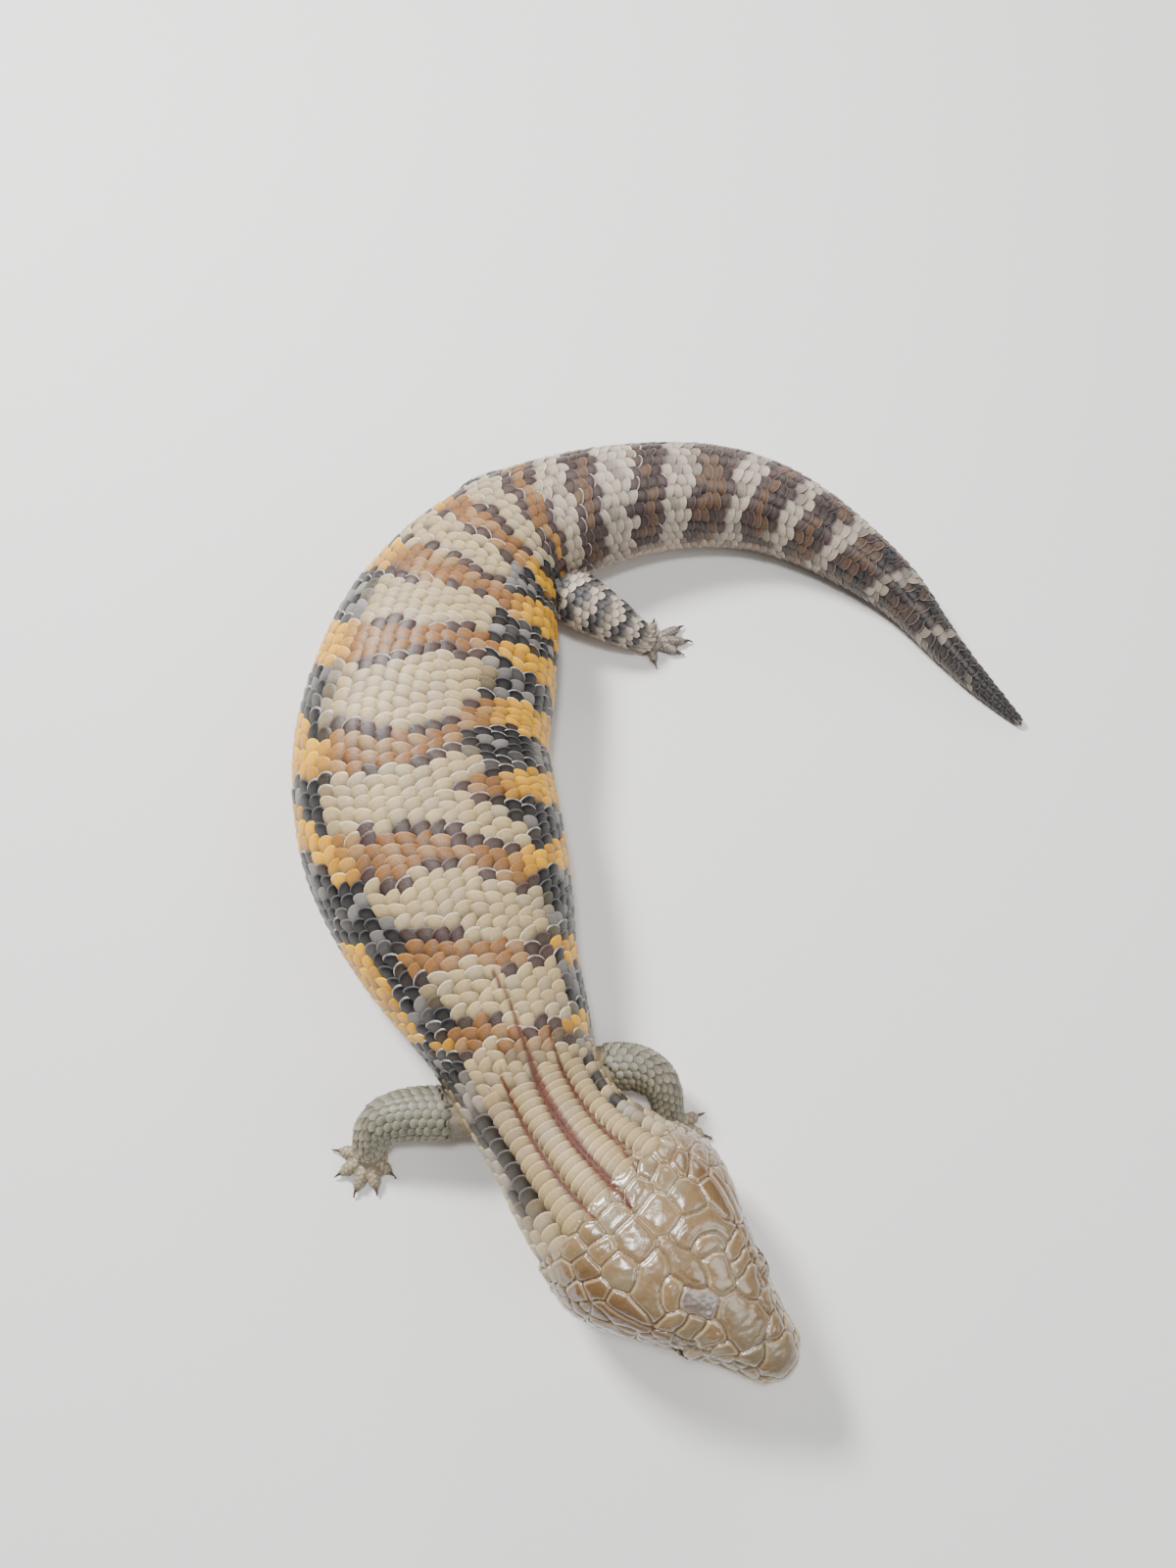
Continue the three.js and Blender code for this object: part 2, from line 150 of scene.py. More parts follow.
# %% Rays to the solids
TRUNK = ["head", "neck", "chest", "belly", "hips", "tail_base", "tail_middle", "tail_tip"]
FRONT = ["upper_arm", "forearm", "hand"]
HIND = ["thigh", "shank", "foot"]
LEGS = {
    "right_front": ["right_front_" + part for part in FRONT],
    "left_front": ["left_front_" + part for part in FRONT],
    "left_hind": ["left_hind_" + part for part in HIND],
    "right_hind": ["right_hind_" + part for part in HIND],
}
FLESH = TRUNK + [node for nodes in LEGS.values() for node in nodes]


def mesh_arrays(obj):
    """Corners in millimetres and triangles of an object."""
    mesh = obj.data
    corners = np.empty(len(mesh.vertices) * 3)
    mesh.vertices.foreach_get("co", corners)
    mesh.calc_loop_triangles()
    faces = np.empty(len(mesh.loop_triangles) * 3, int)
    mesh.loop_triangles.foreach_get("vertices", faces)
    return corners.reshape(-1, 3) / MM, faces.reshape(-1, 3)


def ray_target(names):
    """One tree of triangles to shoot rays at, in millimetres."""
    corners, faces, count = [], [], 0
    for name in names:
        points, triangles = mesh_arrays(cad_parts[name])
        corners.append(points)
        faces.append(triangles + count)
        count += len(points)
    return BVHTree.FromPolygons(np.vstack(corners).tolist(), np.vstack(faces).tolist())


def blur(grid, sigma, axis, closed):
    """A Gaussian average along one axis of a grid."""
    reach = int(3 * sigma) + 1
    weights = np.exp(-0.5 * (np.arange(-reach, reach + 1) / sigma) ** 2)
    weights /= weights.sum()
    pad = [(0, 0)] * grid.ndim
    pad[axis] = (reach, reach)
    wide = np.pad(grid, pad, mode="wrap" if closed else "edge")
    size = grid.shape[axis]
    return sum(
        w * np.take(wide, range(k, k + size), axis=axis) for k, w in enumerate(weights)
    )


trunk_tree = ray_target(TRUNK)
ROWS = np.arange(0.25, 308.8, 1.0)
ANGLES = np.linspace(-math.pi, math.pi, 121)[:-1]
UP = Vector((0, 0, 1))
ABOVE, BELOW, BESIDE = 60, -5, 60  # where rays start, clear of the animal
CORE = 0.45  # height of a section's middle, as a share of the section


def measure_trunk():
    """Distances from the section's middle to the surface, with the middle's height."""
    place, _, left = stations(ROWS)
    reach = np.full((len(ROWS), len(ANGLES)), np.nan)
    height = np.zeros(len(ROWS))
    for i in range(len(ROWS)):
        x, y = place[i]
        top = trunk_tree.ray_cast(Vector((x, y, ABOVE)), -UP)[0].z
        low = trunk_tree.ray_cast(Vector((x, y, BELOW)), UP)[0].z
        height[i] = low + CORE * (top - low)
        middle = Vector((x, y, height[i]))
        side = Vector((*left[i], 0))
        for k, angle in enumerate(ANGLES):
            hit = trunk_tree.ray_cast(middle, side * math.sin(angle) + UP * math.cos(angle))
            if hit[0] is not None:
                reach[i, k] = hit[3]
    return reach, height


reach, height = measure_trunk()
for row in reach.T:
    bad = np.isnan(row)
    row[bad] = np.interp(ROWS[bad], ROWS[~bad], row[~bad])
reach = blur(blur(reach, 1.1, 0, False), 1.3, 1, True)
height = blur(height, 1.5, 0, False)
print("rays:", reach.size)

# %% [markdown]
# The grid is read by *round*, which is 0 on the middle of the back and 1 or -1 on the middle
# of the belly, measured along the skin. A third number, *turn*, says how far a place has
# turned to the side, in degrees: the markings follow it.

# %% The map of the trunk
ROUND = np.linspace(-1, 1, 241)
FLOOR_GAP = 0.02  # nothing soft comes nearer to the floor than this
LEAN_POWER = 1.12  # brings the turn nearer to the real tilt of a flattened back


def trunk_map():
    """Surface points, normals, turn and half girth at each row and share of the round."""
    place, _, left = stations(ROWS)
    closed = np.append(ANGLES, math.pi)
    full = np.concatenate([reach, reach[:, :1]], 1)
    across = full * np.sin(closed)
    points = np.empty((*full.shape, 3))
    points[..., :2] = place[:, None] + left[:, None] * across[..., None]
    points[..., 2] = height[:, None] + full * np.cos(closed)
    points[..., 2] = np.maximum(points[..., 2], FLOOR_GAP)
    middle = len(ANGLES) // 2
    steps = np.linalg.norm(np.diff(points, axis=1), axis=2)
    along = np.concatenate([np.zeros((len(ROWS), 1)), np.cumsum(steps, 1)], 1)
    along -= along[:, middle : middle + 1]
    right, wide = -along[:, :1], along[:, -1:]
    share = np.where(along < 0, along / right, along / wide)
    half = np.abs(across).max(1, keepdims=True)
    lean = np.degrees(np.arcsin(np.clip(np.abs(across) / half, 0, 1) ** LEAN_POWER))
    widest = points[..., 2][np.arange(len(ROWS)), np.abs(across).argmax(1)][:, None]
    turn = np.where(points[..., 2] >= widest, lean, 180 - lean) * np.sign(closed)
    out = np.empty((len(ROWS), len(ROUND), 4))
    for i in range(len(ROWS)):
        for k in range(3):
            out[i, :, k] = np.interp(ROUND, share[i], points[i, :, k])
        out[i, :, 3] = np.interp(ROUND, share[i], turn[i])
    return out[..., :3], out[..., 3], ((right + wide) / 2)[:, 0]


trunk_points, trunk_turn, trunk_girth = trunk_map()
trunk_girth = blur(trunk_girth, 1.5, 0, False)
normals = np.cross(np.gradient(trunk_points, axis=0), np.gradient(trunk_points, axis=1))
normals /= np.linalg.norm(normals, axis=2)[..., None] + 1e-9
outward = trunk_points - trunk_points.mean(1, keepdims=True)
normals *= np.sign((normals * outward).sum((1, 2)))[:, None, None]


def read_grid(grid, s, share):
    """Values of a grid at places given by distance from the snout and round."""
    i = np.clip((s - ROWS[0]) / (ROWS[1] - ROWS[0]), 0, len(ROWS) - 1.001)
    share = (np.asarray(share) + 1) % 2 - 1
    k = np.clip((share + 1) / (ROUND[1] - ROUND[0]), 0, len(ROUND) - 1.001)
    i0, k0 = i.astype(int), k.astype(int)
    along, across = i - i0, k - k0
    if grid.ndim == 3:
        along, across = along[..., None], across[..., None]
    low = grid[i0, k0] * (1 - across) + grid[i0, k0 + 1] * across
    high = grid[i0 + 1, k0] * (1 - across) + grid[i0 + 1, k0 + 1] * across
    return low * (1 - along) + high * along


def half_girth(s):
    """Length of the skin from the middle of the back to the middle of the belly."""
    return np.interp(s, ROWS, trunk_girth)


print("girth at mid-body, mm:", round(float(2 * half_girth(125)), 1))

# %% [markdown]
# ## Finding a place on the map
#
# Some later cells start from a corner of a mesh and ask where on the animal it is. The
# nearest point of the spine gives its distance from the snout, and its angle gives the rest.

# %% Places of mesh corners
COARSE = slice(None, None, 4)  # every fourth point of the spine is near enough
BATCH = 4000  # corners handled together, to save memory


def locate(points):
    """Distance from the snout, turn, round and depth under the map, for many points."""
    s = np.empty(len(points))
    for start in range(0, len(points), BATCH):
        part = points[start : start + BATCH, None, :2] - spine[None, COARSE]
        s[start : start + BATCH] = spine_at[COARSE][(part**2).sum(2).argmin(1)]
    place, _, left = stations(s)
    across = ((points[:, :2] - place) * left).sum(1)
    rise = points[:, 2] - np.interp(s, ROWS, height)
    angle = np.arctan2(across, rise)
    i = np.clip(s - ROWS[0], 0, len(ROWS) - 1).round().astype(int)
    share = np.empty(len(points))
    rows_place, _, rows_left = stations(ROWS)
    map_across = ((trunk_points[..., :2] - rows_place[:, None]) * rows_left[:, None]).sum(2)
    map_angle = np.arctan2(map_across, trunk_points[..., 2] - height[:, None])
    for row in np.unique(i):
        own = i == row
        order = np.argsort(map_angle[row])
        share[own] = np.interp(angle[own], map_angle[row][order], ROUND[order])
    turn = read_grid(trunk_turn, s, share)
    surface = read_grid(trunk_points, s, share)
    normal = read_grid(normals, s, share)
    depth = ((surface - points) * normal).sum(1)
    return s, turn, share, depth


left_eye_at = locate(eye_places["left"][None])[0][0]
print("from the snout to the left eye, mm:", round(float(left_eye_at), 1))

# %% [markdown]
# ## Markings
#
# A blue-tongued skink has cream ground crossed by brown bands that turn amber on the flanks.
# Between the amber bands the flanks are black and white, and dark plum scales edge each
# band. Every band is a short list of places: how far round, how far along, and half width.
# The same function colours the skin and the scales, so that they always agree.

# %% Colours and noise
def linear(red, green, blue):
    """A colour as seen, in 0 to 255, turned into the linear values that shaders use."""
    value = np.array([red, green, blue]) / 255
    return np.where(value <= 0.04045, value / 12.92, ((value + 0.055) / 1.055) ** 2.4)


# Ground, bands, flanks and dark edges of the body.
CREAM = linear(194, 169, 122)
BROWN = linear(140, 94, 50)
AMBER = linear(238, 170, 14)
NIGHT = linear(20, 17, 19)
ASH = linear(152, 145, 138)
PLUM = linear(58, 38, 38)
# White of the rim corners, partly white marks and partly painted glints.
FLECK_AND_GLINT = linear(232, 228, 220)
BELLY = linear(222, 194, 170)
# Tail and legs.
TAIL_PALE = linear(182, 168, 150)
TAIL_BROWN = linear(96, 70, 52)
TAIL_DARK = linear(34, 28, 30)
OLIVE = linear(122, 117, 96)
# Head and neck.
HEAD_TAN = linear(126, 101, 68)
TEMPLE = linear(88, 60, 30)
LIP = linear(206, 184, 148)
SCAR = linear(122, 110, 104)
# Dark brown of the grooves, also used darker as painted shade in the mouth and the openings.
GROOVE_AND_SHADE = linear(84, 52, 32)
RUST = linear(88, 44, 32)


def hash_noise(*keys):
    """A repeatable value from 0 to 1 for each set of whole numbers."""
    total = sum(np.asarray(key, float) * k for key, k in zip(keys, (12.9898, 78.233, 37.719)))
    return np.modf(np.abs(np.sin(total) * 43758.5453))[0]


def soft_noise(x, y, seed=0):
    """Smooth noise from -1 to 1 over a plane."""
    xi, yi = np.floor(x), np.floor(y)
    fx, fy = x - xi, y - yi
    fx, fy = fx * fx * (3 - 2 * fx), fy * fy * (3 - 2 * fy)
    low = hash_noise(xi, yi, seed) * (1 - fx) + hash_noise(xi + 1, yi, seed) * fx
    high = hash_noise(xi, yi + 1, seed) * (1 - fx) + hash_noise(xi + 1, yi + 1, seed) * fx
    return (low * (1 - fy) + high * fy) * 2 - 1


def smoothstep(low, high, value):
    """0 up to the first limit, 1 from the second on, and a soft slope between."""
    t = np.clip((value - low) / (high - low), 0, 1)
    return t * t * (3 - 2 * t)


def mix(first, second, share):
    """The second colour laid over the first one, by a share from 0 to 1."""
    share = np.asarray(share)[..., None]
    return first * (1 - share) + second * share


print("cream and amber:", CREAM.round(2), AMBER.round(2))

# %% [markdown]
# The bands could be painted, but a painting can't be corrected one place at a time. So each
# band is a list of a few places, joined by straight lines, and noise breaks its edge up.

# %% The bands
# Each band: (turn in degrees, distance from the snout, half width), from right to left.
BODY_BANDS = [
    [(-62, 72, 0.8), (-50, 72.5, 1.8), (-30, 70.5, 2.4), (-12, 70, 2.6), (0, 67.5, 1.6),
     (15, 65, 2.2), (30, 66, 1), (45, 67, 1.1), (75, 67, 1.8)],
    [(-34, 86, 1.5), (-20, 85.5, 3.8), (-5, 84.5, 3), (8, 80.5, 2.4), (30, 79, 1.1),
     (50, 79, 1.5), (75, 78.3, 2.8), (110, 78, 3)],
    [(-100, 85, 8), (-75, 85, 10), (-58, 85.5, 9.5), (-49, 86, 0.2)],
    [(-100, 119, 5), (-70, 115.5, 4), (-60, 112, 4), (-45, 107, 4), (-20, 103, 3.9),
     (0, 103, 3), (10, 99.7, 2.4), (30, 94.7, 3), (50, 95.5, 2.4), (75, 97, 3.6),
     (110, 97, 4)],
    [(17, 111.2, 0.2), (22, 111.2, 2), (30, 111, 3), (60, 111, 4.8), (80, 112, 5.4),
     (110, 112, 6)],
    [(-100, 129, 6), (-60, 126.3, 4.5), (-45, 123, 3.5), (-20, 122, 3.4), (0, 121.3, 2.9),
     (12, 121.5, 2.6), (22, 126.5, 3.4), (30, 129, 4), (50, 130.5, 4.8), (75, 130.5, 6.6),
     (110, 130, 7)],
    [(-100, 143, 6), (-45, 142, 4), (-20, 141.3, 3.8), (0, 143.8, 2.8), (30, 145.5, 2.1),
     (60, 146.3, 3.3), (80, 146.5, 4.6), (110, 146, 5)],
    [(-100, 162, 5), (-40, 160.5, 3.6), (-20, 159.7, 3.6), (0, 159.7, 2.6), (30, 158, 2.4),
     (60, 158.8, 4), (80, 160.5, 4.6), (110, 160, 5)],
    [(-100, 175, 3), (-30, 174, 2.4), (0, 173.4, 2.1), (30, 172.2, 2.1), (60, 172.5, 2.8),
     (80, 172.5, 2)],
]
# Round the tail the bands are plain rings, a little further back on the right: (distance on
# the back, half width).
TAIL_BANDS = [
    (185, 1.8), (196.6, 1.7), (210.6, 2.3), (225, 3), (238.4, 2.9), (250.6, 2.7),
    (262.8, 3.5), (277, 4.4), (291, 4), (303, 5),
]
# Fine lines down the neck: (distance from the snout, place across, half width), in
# millimetres. They run between columns of scales.
NECK_LINES = [
    [(35, 0.3, 0.35), (38, 0.5, 0.75), (50, 1.1, 0.95), (60, 1.4, 0.9), (66, 1.6, 0.5),
     (80, 1.7, 0.3)],
    [(38, 4.8, 0.25), (42, 5.9, 0.36), (52, 5.8, 0.36), (60, 5.9, 0.36), (68, 6.6, 0.25)],
    [(38, -4.6, 0.25), (42, -4.9, 0.36), (52, -4.6, 0.36), (60, -4, 0.36), (65, -3.6, 0.2)],
]
# Where the cream ground of the back gives way to black and white: distances from the snout,
# then turns in degrees.
RIGHT_EDGE = (
    (40, 62, 76, 100, 104, 122, 127, 148, 160, 186),
    (36, 38, 31, 31, 36, 36, 38, 35, 44, 100),
)
LEFT_EDGE = (
    (42, 62, 85, 98, 105, 112, 126, 134, 168, 176, 190),
    (42, 52, 49, 41, 38, 21, 22, 28, 29, 50, 100),
)


# Distances from the snout between which one set of colours gives way to the next.
NECK_TO_BODY = (60, 68)
BODY_TO_TAIL = (168, 200)
TAIL_TO_TIP = (235, 300)


def band_depth(s, turn):
    """How far inside the nearest brown band a place lies, in mm: below 0 it is outside."""
    best = np.full(np.shape(s), -9.0)
    for band in BODY_BANDS:
        turns, middles, halves = np.array(band).T
        middle = np.interp(turn, turns, middles)
        half = np.interp(turn, turns, halves)
        outside = np.maximum(turns[0] - turn, turn - turns[-1])
        inside = half - np.abs(s - middle) - np.maximum(outside, 0) * 0.25
        best = np.maximum(best, inside)
    for middle, half in TAIL_BANDS:
        slant = -0.035 * turn + 0.00012 * turn * turn
        best = np.maximum(best, half - np.abs(s - middle - slant))
    return best


def markings(s, turn, key):
    """The colour of the coat at each place. The key is a random number for each scale."""
    side = np.abs(turn)
    wobble = soft_noise(s / 3.1, turn / 14, 1) * 1.0 + soft_noise(s / 1.3, turn / 6, 2) * 0.5
    inside = band_depth(s + wobble * 0.5, turn + wobble * 2) + wobble * 0.5
    tail = smoothstep(*BODY_TO_TAIL, s)
    tip = smoothstep(*TAIL_TO_TIP, s)

    # The ground is cream on the back and black and white on the flanks.
    edge = np.where(turn < 0, np.interp(s, *RIGHT_EDGE), np.interp(s, *LEFT_EDGE))
    edge = edge + 5 * soft_noise(s / 4, 0 * s, 3)
    flank = smoothstep(edge - 3, edge + 3, side)
    pied_share = np.where(turn < 0, 0.2, 0.3) + 0.25 * smoothstep(140, 160, s)
    pied = mix(NIGHT, ASH, (key < pied_share).astype(float) * (0.45 + 0.5 * key / 0.4))
    pied = mix(pied, ASH * 0.5, (key > 0.86) * 0.4)
    cream = mix(CREAM, CREAM * 0.8, hash_noise(key * 97, 5))
    cream = mix(cream, ASH * 1.05, smoothstep(0.6, 1, hash_noise(key * 41, 9)) * 0.3)
    grey = TAIL_PALE * (0.88 + 0.2 * key[..., None]) * (1 - 0.6 * tip)[..., None]
    grey = mix(grey, TAIL_DARK, (key > 0.86) * 0.5 * tail)
    pale = mix(cream, grey, tail)
    ground = mix(pale, pied, flank)

    # The bands are brown on the back and amber on the flanks.
    amber = smoothstep(26, 52, side - 5 * soft_noise(s / 4, turn / 20, 4))
    amber = amber * (1 - tail)
    brown = mix(BROWN * (0.86 + 0.3 * key[..., None]), CREAM * 0.85, (key > 0.7) * 0.3)
    gold = mix(AMBER * (0.8 + 0.3 * key[..., None]), BROWN, (key < 0.2) * 0.35)
    band = mix(brown, gold, amber)
    ring = mix(TAIL_BROWN, TAIL_DARK, np.clip(tip + (key < 0.35) * 0.75, 0, 1))
    band = mix(band, ring, smoothstep(178, 200, s))

    # Dark scales stand between ground and band, and some next to them are nearly white at the
    # rim, partly white marks and partly painted glints.
    colour = mix(ground, band, smoothstep(-0.15, 0.15, inside))
    rim = (np.abs(inside + 0.5) < np.where(s > 180, 1.0, 0.95)) & (key < 0.82)
    rim = rim & ((side > 8) | (s > 92) | (key < 0.4))
    rim_colour = mix(PLUM * (0.8 + 0.7 * key[..., None]), NIGHT, np.clip(flank + tip, 0, 1))
    colour = mix(colour, rim_colour, rim * 0.95)

    # The neck has lines on the back and a black and white row low on the side.
    neck = 1 - smoothstep(*NECK_TO_BODY, s)
    plain = mix(cream * 0.86, BROWN, 0.1 + 0 * side)
    plain = mix(plain, LIP, smoothstep(38, 50, side) * 0.4)
    low = smoothstep(38, 43, side) * smoothstep(41, 47, s)
    row = np.where(turn < 0, 0.8, 0.36)
    speckled = mix(plain, NIGHT, (key < row) * 0.93)
    speckled = mix(speckled, ASH, ((key >= row) & (key < row + 0.3)) * 0.7)
    neck_colour = mix(plain, speckled, low * (side < 72))
    colour = mix(colour, neck_colour, neck)

    # The underside is pale, with only a breath of the bands.
    under = smoothstep(88, 112, side + 6 * soft_noise(s / 4, turn / 25, 6))
    under = under * (1 - 0.75 * smoothstep(200, 260, s))
    return mix(colour, mix(BELLY, colour, 0.12), under)


def fleck_and_glint_share(s, turn, key):
    """1 for the scales beside a band's dark edge that are white at their rim, partly white marks
    and partly painted glints, or else 0.
    """
    inside = band_depth(s, turn)
    near = (inside < 0.6) & (inside > -2.6) & (s < 215) & (s > 62)
    return (near & (key > 0.5)) * 1.0


def neck_lines(s, share, wide=1.0):
    """How much of a neck line's colour a place has, from 0 to 1."""
    across = share * half_girth(s)
    lined = np.zeros(np.shape(s))
    for line in NECK_LINES:
        at, places, halves = np.array(line).T
        off = np.abs(across - np.interp(s, at, places)) / np.interp(s, at, halves) / wide
        near = (1 - smoothstep(0.6, 1.2, off)) * (s >= at[0]) * (s <= at[-1])
        lined = np.maximum(lined, near)
    return lined * (np.abs(share) < 0.5)


print("bands:", len(BODY_BANDS) + len(TAIL_BANDS))

# %% [markdown]
# ## Materials
#
# Each finish is one shader. Its colour comes from the markings and the painted light and shade
# that are stored on the mesh, with a little grain from noise. The shields are glossy like a
# fingernail, so they have a clear coat over a duller base. The scales are plainer, and a fine
# bump breaks the highlights.

# %% Finishes
COAT_ROUGHNESS = 0.22  # of the clear coat on shields, eyes and claws
BUMP_HEIGHT = 0.1  # of the fine relief, in millimetres


def new_material(name, roughness, coat, grain, bump, grain_size, plain=None, shine=0.4):
    """A finish that reads the stored markings and painted light and shade, and adds grain and a
    fine bump.
    """
    material = bpy.data.materials.new(name)
    material.use_nodes = True
    nodes, links = material.node_tree.nodes, material.node_tree.links
    shader = nodes["Principled BSDF"]
    shader.inputs["Roughness"].default_value = roughness
    shader.inputs["Coat Weight"].default_value = coat
    shader.inputs["Coat Roughness"].default_value = COAT_ROUGHNESS
    shader.inputs["Specular IOR Level"].default_value = shine
    place = nodes.new("ShaderNodeTexCoord")
    noise = nodes.new("ShaderNodeTexNoise")
    noise.inputs["Scale"].default_value = 1 / (grain_size * MM)
    noise.inputs["Detail"].default_value = 4
    links.new(place.outputs["Object"], noise.inputs["Vector"])
    # The stored colours hold the markings together with painted light and shade.
    marks = nodes.new("ShaderNodeAttribute")
    marks.attribute_name = "markings_and_painted_light"
    tint = nodes.new("ShaderNodeMixRGB")
    tint.blend_type = "MULTIPLY"
    tint.inputs["Fac"].default_value = 1
    ramp = nodes.new("ShaderNodeValToRGB")
    ramp.color_ramp.elements[0].position = 0.3
    ramp.color_ramp.elements[0].color = (1 - grain, 1 - grain, 1 - grain, 1)
    ramp.color_ramp.elements[1].position = 0.7
    ramp.color_ramp.elements[1].color = (1, 1, 1, 1)
    links.new(noise.outputs["Fac"], ramp.inputs["Fac"])
    links.new(ramp.outputs["Color"], tint.inputs["Color2"])
    if plain is None:
        links.new(marks.outputs["Color"], tint.inputs["Color1"])
    else:
        tint.inputs["Color1"].default_value = (*plain, 1)
    links.new(tint.outputs["Color"], shader.inputs["Base Color"])
    relief = nodes.new("ShaderNodeBump")
    relief.inputs["Strength"].default_value = bump
    relief.inputs["Distance"].default_value = BUMP_HEIGHT * MM
    links.new(noise.outputs["Fac"], relief.inputs["Height"])
    links.new(relief.outputs["Normal"], shader.inputs["Normal"])
    return material


SKIN_FINISH = new_material("skin", 0.65, 0.0, 0.2, 0.4, 0.5)
SCALE_FINISH = new_material("body_scales", 0.3, 0.0, 0.24, 0.8, 0.25, shine=0.28)
TAIL_FINISH = new_material("tail_scales", 0.34, 0.0, 0.28, 0.8, 0.25, shine=0.28)
LEG_FINISH = new_material("leg_scales", 0.42, 0.0, 0.2, 0.5, 0.25)
SHIELD_FINISH = new_material("head_shields", 0.24, 0.8, 0.16, 0.5, 0.45, shine=0.6)
CLAW_FINISH = new_material("claws", 0.35, 0.3, 0.3, 0.2, 0.3, plain=linear(74, 60, 46))
print("finishes:", len(bpy.data.materials))

# %% [markdown]
# ## One skin
#
# The solids are separate parts, and a living skin has no seams. Copies of all the flesh parts
# are puffed up by a hair so that they run into each other, joined, and then remeshed as one
# closed surface. The result is smoothed and drawn in, so that it lies under the scales.

# %% Joining the flesh
def select_only(*objs):
    """Selects these objects and nothing else, and makes the first one active."""
    bpy.ops.object.select_all(action="DESELECT")
    for obj in objs:
        obj.select_set(True)
    bpy.context.view_layer.objects.active = objs[0]


def copy_nodes(names, label):
    """One new object from copies of solid nodes, with loose triangles merged."""
    twins = []
    for name in names:
        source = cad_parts[name]
        twin = bpy.data.objects.new(label, source.data.copy())
        bpy.context.scene.collection.objects.link(twin)
        twins.append(twin)
    select_only(*twins)
    bpy.ops.object.join()
    joined = bpy.context.object
    joined.name = label
    joined.data.materials.clear()
    bpy.ops.object.mode_set(mode="EDIT")
    bpy.ops.mesh.select_all(action="SELECT")
    bpy.ops.mesh.remove_doubles(threshold=1e-6)
    bpy.ops.mesh.normals_make_consistent(inside=False)
    bpy.ops.object.mode_set(mode="OBJECT")
    return joined


def apply_modifier(obj, kind, **settings):
    """Adds a modifier with these settings and applies it at once."""
    select_only(obj)
    modifier = obj.modifiers.new(kind.lower(), kind)
    for key, value in settings.items():
        setattr(modifier, key, value)
    bpy.ops.object.modifier_apply(modifier=modifier.name)


def one_surface(obj, swell, voxel, smoothing):
    """Puffs, remeshes and smooths a joined object. The puff is taken away later."""
    apply_modifier(obj, "DISPLACE", strength=swell * MM, mid_level=0)
    apply_modifier(obj, "REMESH", mode="VOXEL", voxel_size=voxel * MM, use_smooth_shade=True)
    apply_modifier(obj, "SMOOTH", factor=0.5, iterations=smoothing)


def set_corners(obj, corners):
    """Moves the corners of an object to places in millimetres."""
    obj.data.vertices.foreach_set("co", (corners * MM).ravel())
    obj.data.update()


def corner_normals(obj):
    """The outward direction at each corner of an object."""
    found = np.empty(len(obj.data.vertices) * 3)
    obj.data.vertices.foreach_get("normal", found)
    return found.reshape(-1, 3)


def count_triangles(obj):
    """How many triangles an object has when its faces are cut up."""
    return sum(len(face.vertices) - 2 for face in obj.data.polygons)


def corner_places(obj):
    """The corners of an object in millimetres."""
    found = np.empty(len(obj.data.vertices) * 3)
    obj.data.vertices.foreach_get("co", found)
    return found.reshape(-1, 3) / MM


SWELL = 0.22  # the puff that makes neighbours run into each other
SKIN_VOXEL = 0.45
SKIN_TRIANGLES = 170_000
skin = copy_nodes(FLESH, "skin")
one_surface(skin, SWELL, SKIN_VOXEL, 4)
apply_modifier(skin, "DECIMATE", ratio=SKIN_TRIANGLES / count_triangles(skin))
print("skin triangles:", count_triangles(skin))

# %% [markdown]
# ## Legs, paws and toes
#
# A leg is measured in the same way as the trunk, with rays from its own line to the solids.
# These lines repeat the ones that the solids were built on, but the right hind one starts in
# front of the knee, so that its first rings go round the knee. A toe is given by the direction
# that it points in and by its length.

# %% Lines of the legs
LEG_LINES = {
    "right_front": [(-12, -58.5, 10), (-21, -60.6, 9.6), (-29.5, -60.6, 8.8),
                    (-36, -61.8, 7.2), (-38.4, -65, 4.2), (-38.8, -66.9, 2.3)],
    "left_front": [(-5, -54, 10), (2.6, -53, 9.8), (8.6, -52.8, 9.2),
                   (12.8, -55.2, 7.6), (14.3, -59.4, 4.4), (14.9, -61.6, 2.3)],
    "left_hind": [(-16, 48.5, 11), (-7, 44.7, 9.8), (0, 41.1, 8.4),
                  (6, 38.2, 6.4), (10.8, 36.4, 3.8), (12.8, 36.4, 2.2)],
    "right_hind": [(-26.4, 58.6, 6), (-27, 62, 6.2), (-25.4, 66.4, 6.1), (-21.4, 70.8, 5.6),
                   (-16.2, 73.6, 5), (-8.6, 77.6, 3.5), (-6.2, 78.8, 2.2)],
}
# The middle of each paw, its half length and half width, and its toes: (degrees, length).
PAWS = {
    "right_front": (
        (-38.8, -67), 3.1, 2.5, [(172, 5), (211, 5.4), (250, 5.6), (284, 5.2), (322, 4.2)],
    ),
    "left_front": (
        (15.2, -62), 2.5, 2.6, [(22, 4.6), (-16, 5.4), (-52, 5.6), (-90, 5.2), (-138, 4.2)],
    ),
    "left_hind": (
        (12.9, 36.5), 2.7, 2.5, [(78, 4.6), (30, 7), (4, 7.4), (-20, 6), (-76, 4.2)],
    ),
    "right_hind": (
        (-6, 78.9), 2.6, 2.3, [(104, 4.2), (50, 5.6), (26, 7.4), (4, 7), (-20, 4.6)],
    ),
}
TOE_RADII = {"front": (1.2, 0.96), "hind": (0.98, 0.78)}  # at the root and at the tip
LEG_REACH = 9  # a ray from a leg's line that goes further has missed the leg


def shifted(points):
    """Places of the drawing moved to where the solids are."""
    points = np.asarray(points, float)
    moved = points.copy()
    moved[..., :2] += shift
    return moved


